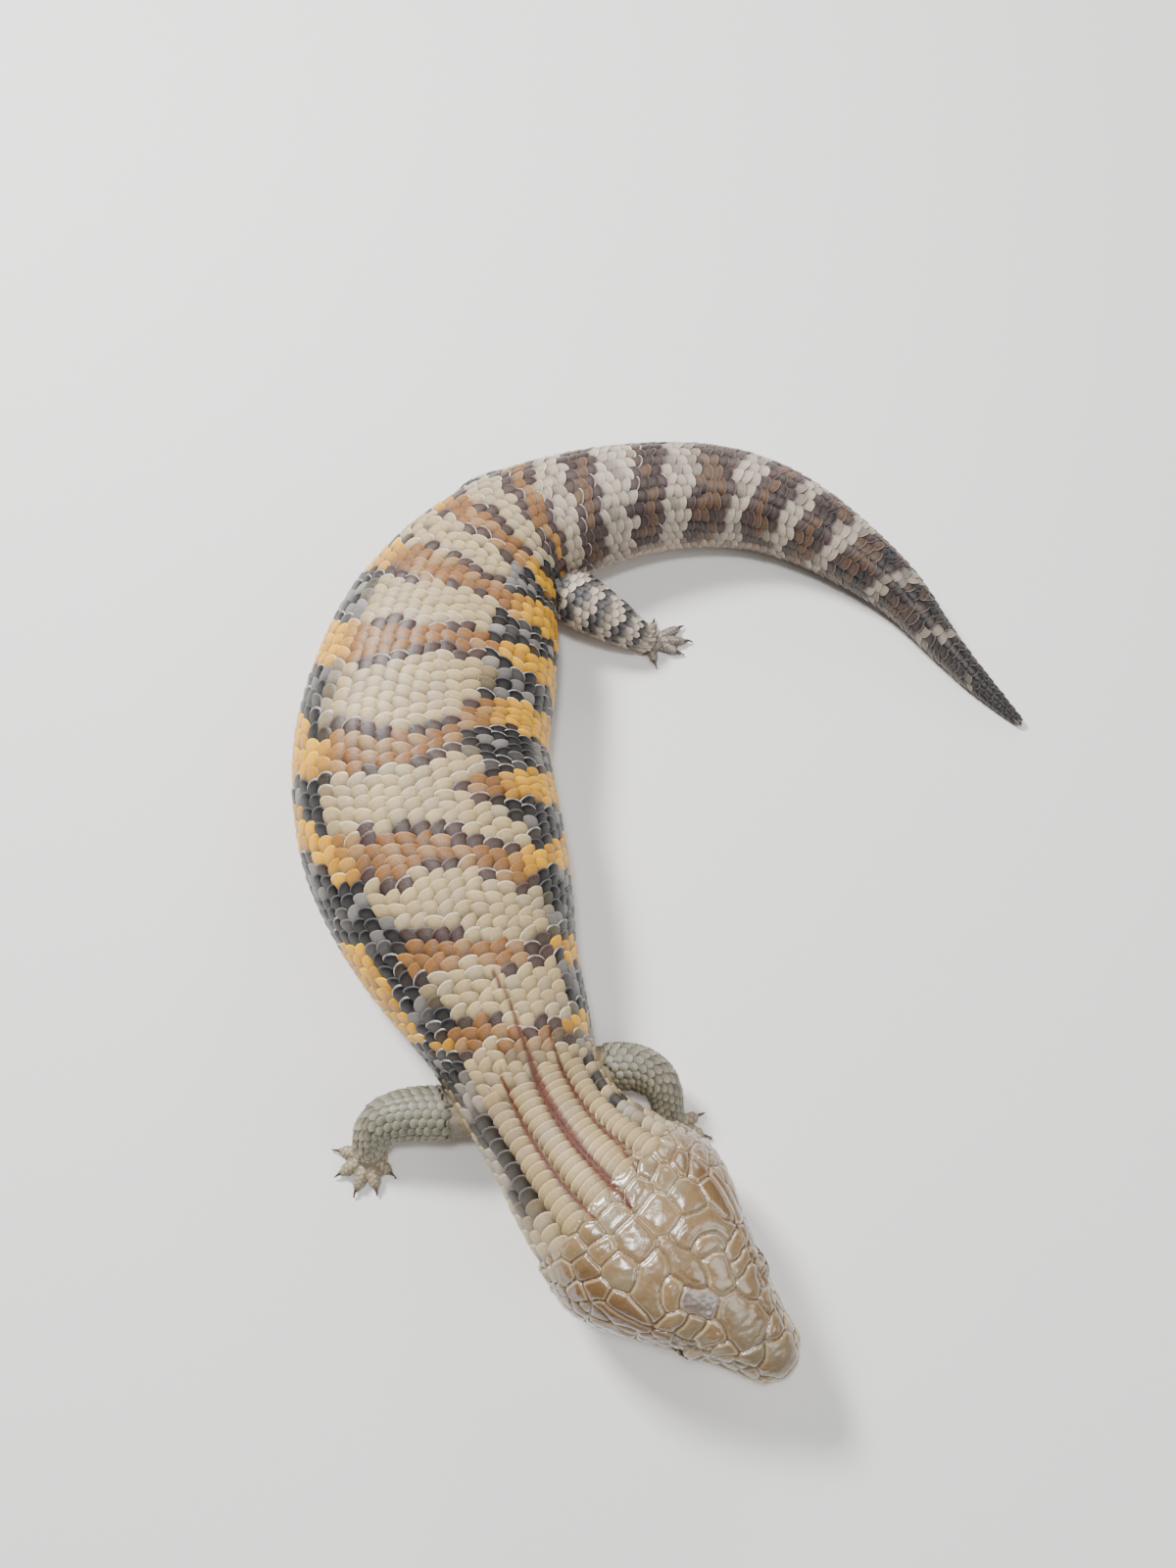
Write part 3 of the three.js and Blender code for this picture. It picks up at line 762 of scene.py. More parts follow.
def tube_map(line, tree, rows, angles):
    """A limb's middle line, and its surface by rays from there. Misses are not a number."""
    curve = smooth_curve(line, rows)
    way = np.gradient(curve, axis=0)
    way /= np.linalg.norm(way, axis=1)[:, None]
    side = np.cross(np.array([0, 0, 1.0]), way)
    side /= np.linalg.norm(side, axis=1)[:, None] + 1e-9
    up = np.cross(way, side)
    points = np.full((rows, angles, 3), np.nan)
    for i in range(rows):
        for k in range(angles):
            angle = 2 * math.pi * k / angles
            out = up[i] * math.cos(angle) + side[i] * math.sin(angle)
            hit = tree.ray_cast(Vector(curve[i]), Vector(out), LEG_REACH)
            if hit[0] is not None:
                points[i, k] = hit[0]
    return curve, points


leg_trees = {leg: ray_target(nodes) for leg, nodes in LEGS.items()}
leg_lines = {leg: shifted(line) for leg, line in LEG_LINES.items()}
print("legs:", list(leg_lines))

# %% [markdown]
# ## Leg markings
#
# The forelegs are plain olive grey with pale toes. The hind legs are mottled with near-black
# and ash in rough bands that narrow towards the foot.

# %% Colours of the legs
def leg_markings(leg, along, angle, key):
    """The colour at a distance along a leg. The angle is 0 on its upper side."""
    if leg.endswith("front"):
        base = mix(OLIVE, OLIVE * 0.78, hash_noise(key * 31, 2))
        speck = (key > 0.9) * 0.4
        colour = mix(base, PLUM, speck)
        colour = mix(colour, LIP * 0.9, smoothstep(25, 34, along) * 0.25)
    else:
        wave = np.sin(along * 1.35 + 1.1 * soft_noise(angle * 1.2, along / 3, 8)) + (key - 0.5)
        colour = mix(TAIL_PALE * 0.95, TAIL_DARK, smoothstep(-0.15, 0.2, wave))
        colour = mix(colour, TAIL_BROWN, ((key > 0.55) & (key < 0.68)) * 0.6)
    below = smoothstep(1.7, 2.3, np.abs(angle))
    return mix(colour, BELLY * 0.92, below * 0.8)


def nearest_leg(points):
    """For each point, the leg nearest to it, the distance to its line and along it."""
    best = np.full(len(points), 1e9)
    owner = np.zeros(len(points), int)
    along = np.zeros(len(points))
    for index, leg in enumerate(LEGS):
        curve = smooth_curve(leg_lines[leg], 80)
        lengths = walked(curve)
        for start in range(0, len(points), BATCH):
            own = slice(start, start + BATCH)
            far = np.linalg.norm(points[own, None] - curve[None], axis=2)
            near = far.min(1)
            better = near < best[own]
            best[own] = np.where(better, near, best[own])
            owner[own] = np.where(better, index, owner[own])
            along[own] = np.where(better, lengths[far.argmin(1)], along[own])
    return owner, best, along


print("colour half way down a foreleg:", leg_markings("left_front", 12.0, 0.0, 0.5).round(3))

# %% [markdown]
# The skin is drawn in by a fraction of a millimetre, so that it lies under the scales, and
# takes the colours of the scales over it. It is darker than they are, as painted shade, because
# it only shows in the creases between them.

# %% Colouring the skin
# Painted shade: the skin is darkened because it only shows in the creases between scales.
CREASE_SHADE, LEG_CREASE_SHADE = 0.5, 0.65  # the skin's brightness, as a share of the scales'
TRUNK_DEPTH, LEG_DEPTH = 0.34, 0.1  # how far the skin lies under the solids
OFF_TRUNK = 1.0  # a corner that stands out of the trunk this far is on a leg
FIRST_LEG = 42  # no leg is nearer to the snout than this


def store_colours(obj, colours):
    """Stores one linear colour for each corner, where the finishes read it."""
    attribute = obj.data.color_attributes.new("markings_and_painted_light", "FLOAT_COLOR", "POINT")
    rgba = np.ones((len(obj.data.vertices), 4))
    rgba[:, :3] = np.clip(colours, 0, 1)
    attribute.data.foreach_set("color", rgba.ravel())


places = corner_places(skin)
s, turn, share, depth = locate(places)
owner, _, leg_along = nearest_leg(places)
on_leg = (depth < -OFF_TRUNK) & (s > FIRST_LEG)
sink = np.where(on_leg, LEG_DEPTH, TRUNK_DEPTH) + SWELL
places = places - corner_normals(skin) * sink[:, None]
places[:, 2] = np.maximum(places[:, 2], FLOOR_GAP)
set_corners(skin, places)
key = np.full(len(s), 0.5)
colours = markings(s, turn, key) * CREASE_SHADE
colours = mix(colours, RUST, neck_lines(s, share, 1.5))
for index, leg in enumerate(LEGS):
    own = on_leg & (owner == index)
    marks = leg_markings(leg, leg_along[own], np.zeros(own.sum()), key[own])
    colours[own] = mix(marks, TAIL_PALE, 0.3) * LEG_CREASE_SHADE
store_colours(skin, colours)
skin.data.materials.append(SKIN_FINISH)
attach(skin, "root")
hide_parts(*FLESH)
print("corners on the legs:", int(on_leg.sum()))

# %% [markdown]
# ## One scale
#
# A skink's scale is a thin, smooth plate like a roof tile: narrow where it is rooted and
# rounded at its free end, which points to the tail and covers the next root. It starts as a
# grid, its outline is rounded, and its walls are pulled down to make it a closed solid.

# %% The pattern scale
ROOT_WIDTH = 0.78  # of the width at the free end


def pattern_scale(across, rows):
    """One closed scale: corners as (along, across, height, rim), and faces.

    The rows are given as (share of the length, how much the edge is rounded down).
    """
    top = []
    for r, (step, rounding) in enumerate(rows):
        for t in np.linspace(-1, 1, across + 1):
            angle = t * math.pi / 2
            edge = (0.6 + 0.4 * math.cos(angle) ** 0.8, math.sin(angle))
            root = (0.0, ROOT_WIDTH * math.sin(angle))
            a = root[0] + (edge[0] - root[0]) * step
            b = root[1] + (edge[1] - root[1]) * step
            top.append((a, b, 1.0 - rounding, float(r == len(rows) - 1)))
    top = np.array(top)
    wide = across + 1
    faces = []
    for r in range(len(rows) - 1):
        for j in range(across):
            k = r * wide + j
            faces.append((k, k + 1, k + wide + 1, k + wide))
    ring = list(range(wide))
    ring += [r * wide + across for r in range(1, len(rows))]
    ring += [(len(rows) - 1) * wide + j for j in range(across - 1, -1, -1)]
    ring += [r * wide for r in range(len(rows) - 2, 0, -1)]
    low = top[ring].copy()
    low[:, 2] = -1.0
    base = len(top)
    for k in range(len(ring)):
        after = (k + 1) % len(ring)
        faces.append((ring[after], ring[k], base + k, base + after))
    faces.append(tuple(base + k for k in range(len(ring))))
    return np.vstack([top, low]), faces


LARGE_SCALE = pattern_scale(8, [(0, 0), (0.36, 0), (0.68, 0), (0.9, 0.12), (1, 0.55)])
SMALL_SCALE = pattern_scale(6, [(0, 0), (0.6, 0), (1, 0.55)])
print("faces of a large scale:", len(LARGE_SCALE[1]))

# %% [markdown]
# ## A coat from one pattern
#
# The pattern is copied to every place of a list. Each copy is bent to the map of the body, so
# that it hugs the flank, and its free edge is lifted a little over its neighbour. The colour
# is taken once for each scale, which gives the real animal's stepped, pixel-like bands.

# %% Laying scales
NECK_END = 61  # the neck's plates end here and the rows of the body begin
LIFT = 0.24  # height of a free edge over the solids
ROOT = -0.5  # height of a root, which lies inside the solids
DOME, SIDES = 0.36, -0.16  # rise of a scale's middle, and height of its sides
EDGE_DROP = 0.18  # how far a rounded edge comes down
UNDERSIDE = 0.3  # from the line of lift down to a scale's underside
FULL_SIZE = 4.0  # length of a scale that has just these heights
WARP = 0.3  # how far body scales lean out of their rows. Neck scales lean a tenth of it


def inset(share):
    """Shares from 0 to 1, drawn in a little from the rim of the bake."""
    return share * 0.96 + 0.02


def build_mesh(name, corners, faces, colours, patch, material, slot, smooth=30):
    """A new object from many copies of one pattern of faces."""
    count, size = corners.shape[:2]
    mesh = bpy.data.meshes.new(name)
    lengths = np.array([len(face) for face in faces])
    flat = np.concatenate([np.array(face) for face in faces])
    loops = (flat[None] + (np.arange(count) * size)[:, None]).ravel()
    starts = np.concatenate([[0], np.cumsum(np.tile(lengths, count))[:-1]])
    mesh.vertices.add(count * size)
    mesh.vertices.foreach_set("co", (corners * MM).ravel())
    mesh.loops.add(len(loops))
    mesh.loops.foreach_set("vertex_index", loops)
    mesh.polygons.add(len(starts))
    mesh.polygons.foreach_set("loop_start", starts)
    mesh.update(calc_edges=True)
    obj = bpy.data.objects.new(name, mesh)
    bpy.context.scene.collection.objects.link(obj)
    bake = mesh.uv_layers.new(name="OFBake")
    bake.data.foreach_set("uv", patch.reshape(-1, 2)[loops].ravel())
    store_colours(obj, colours.reshape(-1, 3))
    mesh.materials.append(material)
    select_only(obj)
    bpy.ops.object.mode_set(mode="EDIT")
    bpy.ops.mesh.select_all(action="SELECT")
    bpy.ops.mesh.normals_make_consistent(inside=False)
    bpy.ops.object.mode_set(mode="OBJECT")
    bpy.ops.object.shade_smooth_by_angle(angle=math.radians(smooth))
    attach(obj, "root")
    return obj


def shade_scale(base, pattern, key, fleck_and_glint):
    """Painted light and shade within each scale: a shaded root, a greyer middle and a pale rim of
    painted highlight.
    """
    a, b, _, rim = pattern.T
    # The root lies in the shade of the scale before, and so do the sides.
    root = 0.26 + 0.74 * smoothstep(0.36, 0.74, a)
    cheek = 1 - 0.42 * smoothstep(0.45, 0.9, np.abs(b))
    value = root * cheek
    colour = base[:, None] * value[None, :, None]
    # The middle is mixed a little towards grey.
    middle = smoothstep(0.92, 0.7, a) * smoothstep(0.75, 0.2, np.abs(b)) * 0.14
    colour = mix(colour, ASH * 0.8, np.broadcast_to(middle, colour.shape[:2]))
    # The rim is paler, and most on a dark scale: a painted highlight on the glossy free edge.
    # Some rims have white corners, partly white marks and partly painted glints.
    dark = 1 - smoothstep(0.02, 0.12, base.mean(1))
    pale = np.minimum(base * 1.4 + 0.05 + 0.1 * dark[:, None], 0.9)[:, None]
    painted_rim_highlight = rim[None] * (0.45 + 0.5 * key[:, None])
    colour = mix(colour, pale, painted_rim_highlight)
    corner = np.clip(rim * (0.25 + np.abs(b)), 0, 1)[None] * fleck_and_glint[:, None]
    return mix(colour, FLECK_AND_GLINT, corner * 0.85)


def lay_scales(name, spots, surface, colour, pattern, material, slot, thin=1.0):
    """Copies of the pattern at spots: (along, round, length, half width, key) in rows."""
    template, faces = pattern
    a, b, rise, _ = template.T
    along, across, length, half, key = spots.T
    warp = np.where(along > NECK_END, WARP, WARP / 10)
    skew = (hash_noise(key * 57, 3) - 0.5)[:, None] * warp[:, None]
    s = along[:, None] + (a[None] - 0.5 + skew * b[None]) * length[:, None]
    v = across[:, None] + (b[None] + skew * (a[None] - 0.5)) * half[:, None]
    points, normal = surface(s, v)
    size = np.clip(length / FULL_SIZE, 0.25, 1.15)[:, None] * thin
    lift = ROOT + (LIFT - ROOT) * a[None] ** 0.8
    dome = DOME * (1 - b[None] ** 2) * (1 - 0.3 * a[None]) + SIDES
    top = lift + dome - EDGE_DROP * (1 - rise[None])
    low = lift - UNDERSIDE
    jitter = (key[:, None] - 0.5) * 0.16 * a[None]
    high = np.where(rise[None] < 0, low, top + jitter) * size
    corners = points + normal * high[..., None]
    corners[..., 2] = np.maximum(corners[..., 2], 0.0)
    # White rim corners beside the bands' dark edges, partly white marks and partly painted
    # glints.
    fleck_and_glint = np.zeros(len(key))
    if surface is trunk_surface:
        fleck_and_glint = fleck_and_glint_share(along, read_grid(trunk_turn, along, across), key)
    shades = shade_scale(colour(along, across, key), template, key, fleck_and_glint)
    if surface is trunk_surface:
        shades = mix(shades, RUST * (0.7 + 0.6 * key[:, None, None]), neck_lines(s, v) * 0.95)
    patch = np.empty((*s.shape, 2))
    reach_s, reach_v = surface.span
    patch[..., 0] = inset(along / reach_s)[:, None] + (a[None] - 0.5) * 0.003
    patch[..., 1] = inset((across / reach_v + 1) / 2)[:, None] + b[None] * 0.0015
    return build_mesh(name, corners, faces, shades, patch, material, slot)


def trunk_surface(s, v):
    """Points and normals of the trunk at distances from the snout and round."""
    return read_grid(trunk_points, s, v), read_grid(normals, s, v)


trunk_surface.span = (TAIL_END, 1.0)  # how far the map reaches, for the bake


def trunk_colour(s, v, key):
    """The markings of the trunk, for scales given by distance from the snout and round."""
    return markings(s, read_grid(trunk_turn, s, v), key)


print("a free edge stands over the solids by", LIFT, "mm")

# %% [markdown]
# ## Rows on neck, body and tail
#
# Round the middle of the body there are 44 columns of scales, and each column is set half a
# scale back from its neighbour. The nape has four columns of wide, short plates like stacked
# coins. Down the tail there are fewer columns, because it is thinner. Lists of columns are
# enough here, because the pattern does the rest.

# %% Where the body scales sit
# Columns on one side of the nape, from the middle down: (width, distance between scales).
NAPE_COLUMNS = [(5.1, 1.4), (4.9, 1.5), (3.4, 2.0), (3.1, 2.1), (2.9, 2.1), (2.9, 2.2),
                (2.9, 2.3), (2.9, 2.3), (2.9, 2.3), (2.9, 2.3), (2.9, 2.3)]
NAPE_SHIFT = 0.022  # the line of the nape lies a little to the left of the middle


def even_columns(count, pitch):
    """Columns of the same width, with the same distance between their scales."""
    return [(1.0, pitch)] * count


# Each stretch: name, from, to, columns on each side.
STRETCHES = [
    ("nape", 38.6, 60.5, NAPE_COLUMNS),
    ("shoulders", 60.9, 84, even_columns(18, 2.1)),
    ("body", 84.4, 168, even_columns(22, 2.15)),
    ("rump", 168.4, 190, even_columns(17, 2.15)),
    ("tail_root", 190.5, 222, even_columns(14, 2.1)),
    ("tail_half", 222.5, 250, even_columns(11, 2.05)),
    ("tail_thin", 250.4, 276, even_columns(8, 1.95)),
    ("tail_end", 276.4, 307.5, even_columns(5, 1.8)),
]
LEG_HOLES = {"front": 4.2 * 0.86, "hind": 5.4 * 0.86}  # radius of the gap round a leg's line
HOLE_FROM, HOLE_TO = 7, 26  # the stretch of a leg's line that needs the gap
STACKED = 4  # columns wider than this are the stacked plates of the nape
EAR = (37.4, 13.4, 1.25, 2.1)  # distance from the snout, height, half width, half height
EAR_CLEAR = 1.9  # scales nearer to the ear than this share of its size are left out


def ear_reach(s, share, z):
    """1 on the edge of the ear opening, less inside it and more outside."""
    along, level, wide, high = EAR
    off = np.sqrt(((s - along) / wide) ** 2 + ((z - level) / high) ** 2)
    return np.where(np.abs(share) > 0.2, off, 9.0)


def inside_leg(points):
    """True where a point is well inside one of the legs."""
    owner, far, along = nearest_leg(points)
    hidden = np.zeros(len(points), bool)
    for index, leg in enumerate(LEGS):
        own = (owner == index) & (along > HOLE_FROM) & (along < HOLE_TO)
        hidden |= own & (far < LEG_HOLES[leg.split("_")[1]])
    return hidden


def column_spots(start, end, columns, seed):
    """Places of all the scales of one stretch of the trunk."""
    widths = np.array([width for width, _ in columns])
    edges = np.concatenate([[0], np.cumsum(widths)]) / widths.sum()
    offset = NAPE_SHIFT * (widths.max() > STACKED)
    rows = []
    for side in (-1, 1):
        for k, (_, pitch) in enumerate(columns):
            middle = side * (edges[k] + edges[k + 1]) / 2
            half = (edges[k + 1] - edges[k]) / 2
            set_back = 0.5 * ((k + (side > 0)) % 2)
            length, width = (2.2, 0.94) if widths[k] > STACKED else (1.85, 1.42)
            count = int((end - start) / pitch) + 1
            s = start + (np.arange(count) + set_back) * pitch
            key = hash_noise(np.arange(count) + 1, k * side + 50, seed)
            wander = (hash_noise(np.arange(count), k + 7 * side, seed + 3) - 0.5) * 0.12 * pitch
            spots = np.stack([
                s + wander,
                np.full(count, middle + offset),
                np.full(count, pitch * length),
                np.full(count, half * width),
                key,
            ], -1)
            rows.append(spots[s < end + 0.3 * pitch])
    return np.vstack(rows)


def trunk_spots(names, start, end):
    """Places of the scales of some stretches, from one distance from the snout to another."""
    rows = []
    for index, (name, first, last, columns) in enumerate(STRETCHES):
        if name in names:
            rows.append(column_spots(first, last, columns, index + 1))
    spots = np.vstack(rows)
    spots = spots[(spots[:, 0] >= start) & (spots[:, 0] < end)]
    middle = read_grid(trunk_points, spots[:, 0], spots[:, 1])
    by_ear = ear_reach(spots[:, 0] - 0.6, spots[:, 1], middle[:, 2]) < EAR_CLEAR
    spots = spots[~(inside_leg(middle) | by_ear)]
    # Behind the neck the rows wander a little, as they do on a living animal.
    s, v = spots[:, 0].copy(), spots[:, 1].copy()
    free = smoothstep(60, 66, s)
    spots[:, 0] += 0.55 * soft_noise(s / 7, v * 9, 21) * free
    spots[:, 1] += 0.008 * soft_noise(s / 6, v * 7, 22) * free
    return spots


MID_BODY = 126  # the coat of the body is cut in two here
# Each coat: names of its stretches, from, to, finish, slot.
COATS = {
    "scales_nape_and_shoulders": (("nape", "shoulders"), 0, 90, SCALE_FINISH, "body_skin"),
    "scales_chest": (("body",), 0, MID_BODY, SCALE_FINISH, "body_skin"),
    "scales_belly": (("body",), MID_BODY, 180, SCALE_FINISH, "body_skin"),
    "scales_rump": (("rump", "tail_root"), 160, 230, TAIL_FINISH, "tail_skin"),
    "scales_tail": (("tail_half", "tail_thin", "tail_end"), 220, 310, TAIL_FINISH, "tail_skin"),
}
for coat, (names, start, end, finish, slot) in COATS.items():
    spots = trunk_spots(names, start, end)
    piece = lay_scales(coat, spots, trunk_surface, trunk_colour, LARGE_SCALE, finish, slot)
    print(coat, len(spots), "scales,", count_triangles(piece), "triangles")

# %% [markdown]
# ## Scales on the legs
#
# Leg scales are small and nearly as long as they are wide. Where a ray from the leg's line
# finds no leg, because the line is inside the trunk there, no scale is laid. Toes carry wide
# scutes across their top, one behind the other.

# %% Leg and toe scales
def tube_surface(points, lengths):
    """A function that reads a limb's map by distance along it and by angle."""
    rows, count = points.shape[:2]
    out = points - points.mean(1, keepdims=True)
    normal = np.cross(
        np.gradient(points, axis=0),
        np.roll(points, -1, 1) - np.roll(points, 1, 1),
    )
    normal /= np.linalg.norm(normal, axis=2)[..., None] + 1e-9
    normal *= np.sign((normal * out).sum(2))[..., None]

    def surface(s, angle):
        i = np.clip(np.interp(s, lengths, np.arange(rows)), 0, rows - 1.001)
        k = (angle / (2 * math.pi) * count) % count
        i0, k0 = i.astype(int), k.astype(int) % count
        k1 = (k0 + 1) % count
        along, across = (i - i0)[..., None], (k - np.floor(k))[..., None]
        found = []
        for grid in (points, normal):
            low = grid[i0, k0] * (1 - across) + grid[i0, k1] * across
            high = grid[i0 + 1, k0] * (1 - across) + grid[i0 + 1, k1] * across
            found.append(low * (1 - along) + high * along)
        return found

    surface.span = (lengths[-1], math.pi)
    return surface


def limb_spots(start, end, columns, pitch, seed):
    """Places of scales in staggered columns all round a limb."""
    rows = []
    for k in range(columns):
        angle = -math.pi + (k + 0.5) * 2 * math.pi / columns
        count = int((end - start) / pitch) + 1
        s = start + (np.arange(count) + 0.5 * (k % 2)) * pitch
        key = hash_noise(np.arange(count) + 3, k + 20, seed)
        rows.append(np.stack([
            s,
            np.full(count, angle),
            np.full(count, pitch * 1.8),
            np.full(count, math.pi / columns * 1.32),
            key,
        ], -1))
    return np.vstack(rows)


LEG_PLUMP = 0.3  # averaging makes a bent leg thinner, and this makes up for it
TOO_MANY_MISSES = 0.85  # a ring of rays that misses the leg more than this is dropped
LEG_COLUMNS, LEG_PITCH = 18, 1.55


def leg_map(leg, rows=70, angles=40, ankle=67):
    """A leg's surface points and the misses, from where it leaves the trunk to the ankle."""
    curve, points = tube_map(leg_lines[leg], leg_trees[leg], rows, angles)
    missed = np.isnan(points[..., 0])
    kept = np.where((missed.mean(1) < TOO_MANY_MISSES) & (np.arange(rows) < ankle))[0]
    reach = (points - curve[:, None])[kept]
    missed = missed[kept]
    for k in range(angles):
        hit = np.where(~missed[:, k])[0]
        for axis in range(3):
            reach[:, k, axis] = np.interp(np.arange(len(kept)), hit, reach[hit, k, axis])
    reach = blur(blur(reach, 0.6, 0, False), 0.6, 1, True)
    reach *= 1 + LEG_PLUMP / np.linalg.norm(reach, axis=2, keepdims=True)
    return curve[kept, None] + reach, missed, walked(curve)[kept]


def leg_slot(leg):
    """The name of a slot for the scales and claws of a leg."""
    return leg.split("_")[1] + "_leg_skin"


def leg_coat(leg, seed):
    """Covers one leg with scales, except where its line runs inside the trunk."""
    points, missed, lengths = leg_map(leg)
    spots = limb_spots(lengths[0] + 0.3, lengths[-1] - 0.1, LEG_COLUMNS, LEG_PITCH, seed)
    row = np.interp(spots[:, 0], lengths, np.arange(len(lengths))).round().astype(int)
    column = (spots[:, 1] / (2 * math.pi) * missed.shape[1]).round().astype(int)
    spots = spots[~missed[row, column % missed.shape[1]]]

    def colour(s, angle, key):
        return leg_markings(leg, s, angle, key)

    name = "scales_" + leg
    surface = tube_surface(points, lengths)
    lay_scales(name, spots, surface, colour, SMALL_SCALE, LEG_FINISH, leg_slot(leg), thin=1.5)
    print(name, len(spots))


for number, leg in enumerate(LEGS):
    leg_coat(leg, number + 11)

# %% [markdown]
# Each toe is a small bent tube with scutes round it. It ends in a dark claw that curves down.
# The paw's back is covered by rows of small scales that spread out to the toes.

# %% Paws, toes and claws
CLAW_LENGTH = 1.5
CLAW_ROOT = 0.42  # radius
CLAW_RISE, CLAW_BEND = 0.28, 0.85  # a claw starts upwards and then curves down
TOE_COLUMNS, TOE_PITCH = 8, 0.78
PAW_COLUMNS, PAW_PITCH = 14, 0.85
PAW_FROM, PAW_TO, PAW_EDGE = 0.2, 3.6, 4.2  # the scales' first and last ring, and the rim
PAW_HIGH, PAW_MIDDLE = 1.6, 1.5  # height of the dome, and of its middle over the floor


def toe_line(leg, turn, length):
    """Middle points and radii of a toe, as in the solids."""
    (x, y), _, _, _ = PAWS[leg]
    root, tip = TOE_RADII[leg.split("_")[1]]
    way = np.array([math.cos(math.radians(turn)), math.sin(math.radians(turn))])
    spots = [
        (0.6, root, root),
        (length * 0.5, root * 1.25, root),
        (length * 0.8, root * 1.1, (root + tip) / 2),
        (length, tip * 0.82, tip),
    ]
    line = np.array([(*(np.array([x, y]) + way * reach), z) for reach, z, _ in spots])
    return shifted(line), np.array([radius for _, _, radius in spots]), way


def toe_map(line, radii, rows=16, angles=16):
    """Surface points of a toe, with a round end."""
    curve = smooth_curve(line, rows)
    size = np.interp(np.linspace(0, 1, rows), np.linspace(0, 1, len(radii)), radii)
    size[-2:] *= (0.86, 0.5)
    way = np.gradient(curve, axis=0)
    way /= np.linalg.norm(way, axis=1)[:, None]
    side = np.cross(np.array([0, 0, 1.0]), way)
    side /= np.linalg.norm(side, axis=1)[:, None]
    up = np.cross(way, side)
    spin = np.linspace(0, 2 * math.pi, angles + 1)[:-1]
    ring = up[:, None] * np.cos(spin)[None, :, None] + side[:, None] * np.sin(spin)[None, :, None]
    lengths = np.linspace(0, np.linalg.norm(np.diff(curve, axis=0), axis=1).sum(), rows)
    return curve[:, None] + ring * size[:, None, None], lengths


def paw_map(leg, rows=12, angles=24):
    """The back of a paw: rings from its middle out to its edge."""
    (x, y), half_long, half_wide, _ = PAWS[leg]
    tilt = np.linspace(0.15, 1.75, rows)[:, None]
    spin = np.linspace(0, 2 * math.pi, angles + 1)[None, :-1]
    points = np.stack([
        x + half_long * np.sin(tilt) * np.cos(spin),
        y + half_wide * np.sin(tilt) * np.sin(spin),
        PAW_MIDDLE + PAW_HIGH * np.cos(tilt) + 0 * spin,
    ], -1)
    return shifted(points), np.linspace(0, PAW_EDGE, rows)


def claw_pattern(rings=5, sides=7):
    """A closed cone as (along, turn round, radius)."""
    rows = []
    for r in range(rings):
        for k in range(sides):
            rows.append((r / (rings - 1), 2 * math.pi * k / sides, 1 - 0.9 * r / (rings - 1)))
    faces = []
    for r in range(rings - 1):
        for k in range(sides):
            after = (k + 1) % sides
            faces.append((r * sides + k, r * sides + after,
                          (r + 1) * sides + after, (r + 1) * sides + k))
    faces.append(tuple(range(sides)))
    faces.append(tuple((rings - 1) * sides + k for k in range(sides)))
    return np.array(rows), faces


def make_claw(line, radii, way, pattern):
    """The corners of one claw, at the end of a toe."""
    ahead = np.array([*way, 0.0])
    side = np.array([-way[1], way[0], 0.0])
    tip = line[-1] + ahead * radii[-1] * 0.55 + (0, 0, 0.22)
    a, spin, size = pattern.T
    radius = CLAW_ROOT * size
    claw = tip + ahead * (a * CLAW_LENGTH)[:, None]
    claw = claw + side * (radius * np.cos(spin) * 0.8)[:, None]
    claw[:, 2] += radius * np.sin(spin) + (CLAW_RISE * a - CLAW_BEND * a * a)
    claw[:, 2] = np.maximum(claw[:, 2], 0.03 + 0.02 * np.sin(spin))
    return claw


def toe_markings(leg, key):
    """The colour of the scutes on paws and toes: mostly pale, some dark."""
    base = LIP * 0.5 if leg.endswith("front") else TAIL_PALE * 0.62
    dark = OLIVE if leg.endswith("front") else TAIL_DARK
    return mix(np.broadcast_to(base, (len(key), 3)), dark, (key > 0.62) * 0.45)


def dress_paw(leg, toes, number):
    """Scutes on the toes and the paw of one leg, and its claws in one piece."""

    def tone(s, angle, key):
        return toe_markings(leg, key)

    pattern, faces = claw_pattern()
    claws = []
    for index, (turn, length) in enumerate(toes):
        line, radii, way = toe_line(leg, turn, length)
        claws.append(make_claw(line, radii, way, pattern))
        points, lengths = toe_map(line, radii)
        seed = number * 9 + index
        spots = limb_spots(0.6, lengths[-1] - 0.15, TOE_COLUMNS, TOE_PITCH, seed)
        lay_scales(f"toe_{leg}_{index + 1}", spots, tube_surface(points, lengths), tone,
                   SMALL_SCALE, LEG_FINISH, leg_slot(leg), thin=0.9)
    claws = np.array(claws)
    patch = np.full((*claws.shape[:2], 2), 0.5) + pattern[None, :, :2] * 0.0004
    build_mesh("claws_" + leg, claws, faces, np.ones((*claws.shape[:2], 3)), patch,
               CLAW_FINISH, leg_slot(leg), smooth=60)
    points, lengths = paw_map(leg)
    spots = limb_spots(PAW_FROM, PAW_TO, PAW_COLUMNS, PAW_PITCH, number + 70)
    lay_scales("paw_" + leg, spots, tube_surface(points, lengths), tone, SMALL_SCALE,
               LEG_FINISH, leg_slot(leg), thin=0.9)


for number, (leg, (_, _, _, toes)) in enumerate(PAWS.items()):
    dress_paw(leg, toes, number)
    print("paw_" + leg, len(toes), "toes with claws")

# %% [markdown]
# ## Shields of the head
#
# The crown of a skink is armoured with large plates that fit together like paving, and the
# lips have a row of upright tiles. Each plate is given here by a short line drawn on the head.
# Every place on the head belongs to the plate whose line is nearest, so the borders find
# themselves, as they do between growing cells. A plate swells a little and its border sinks.

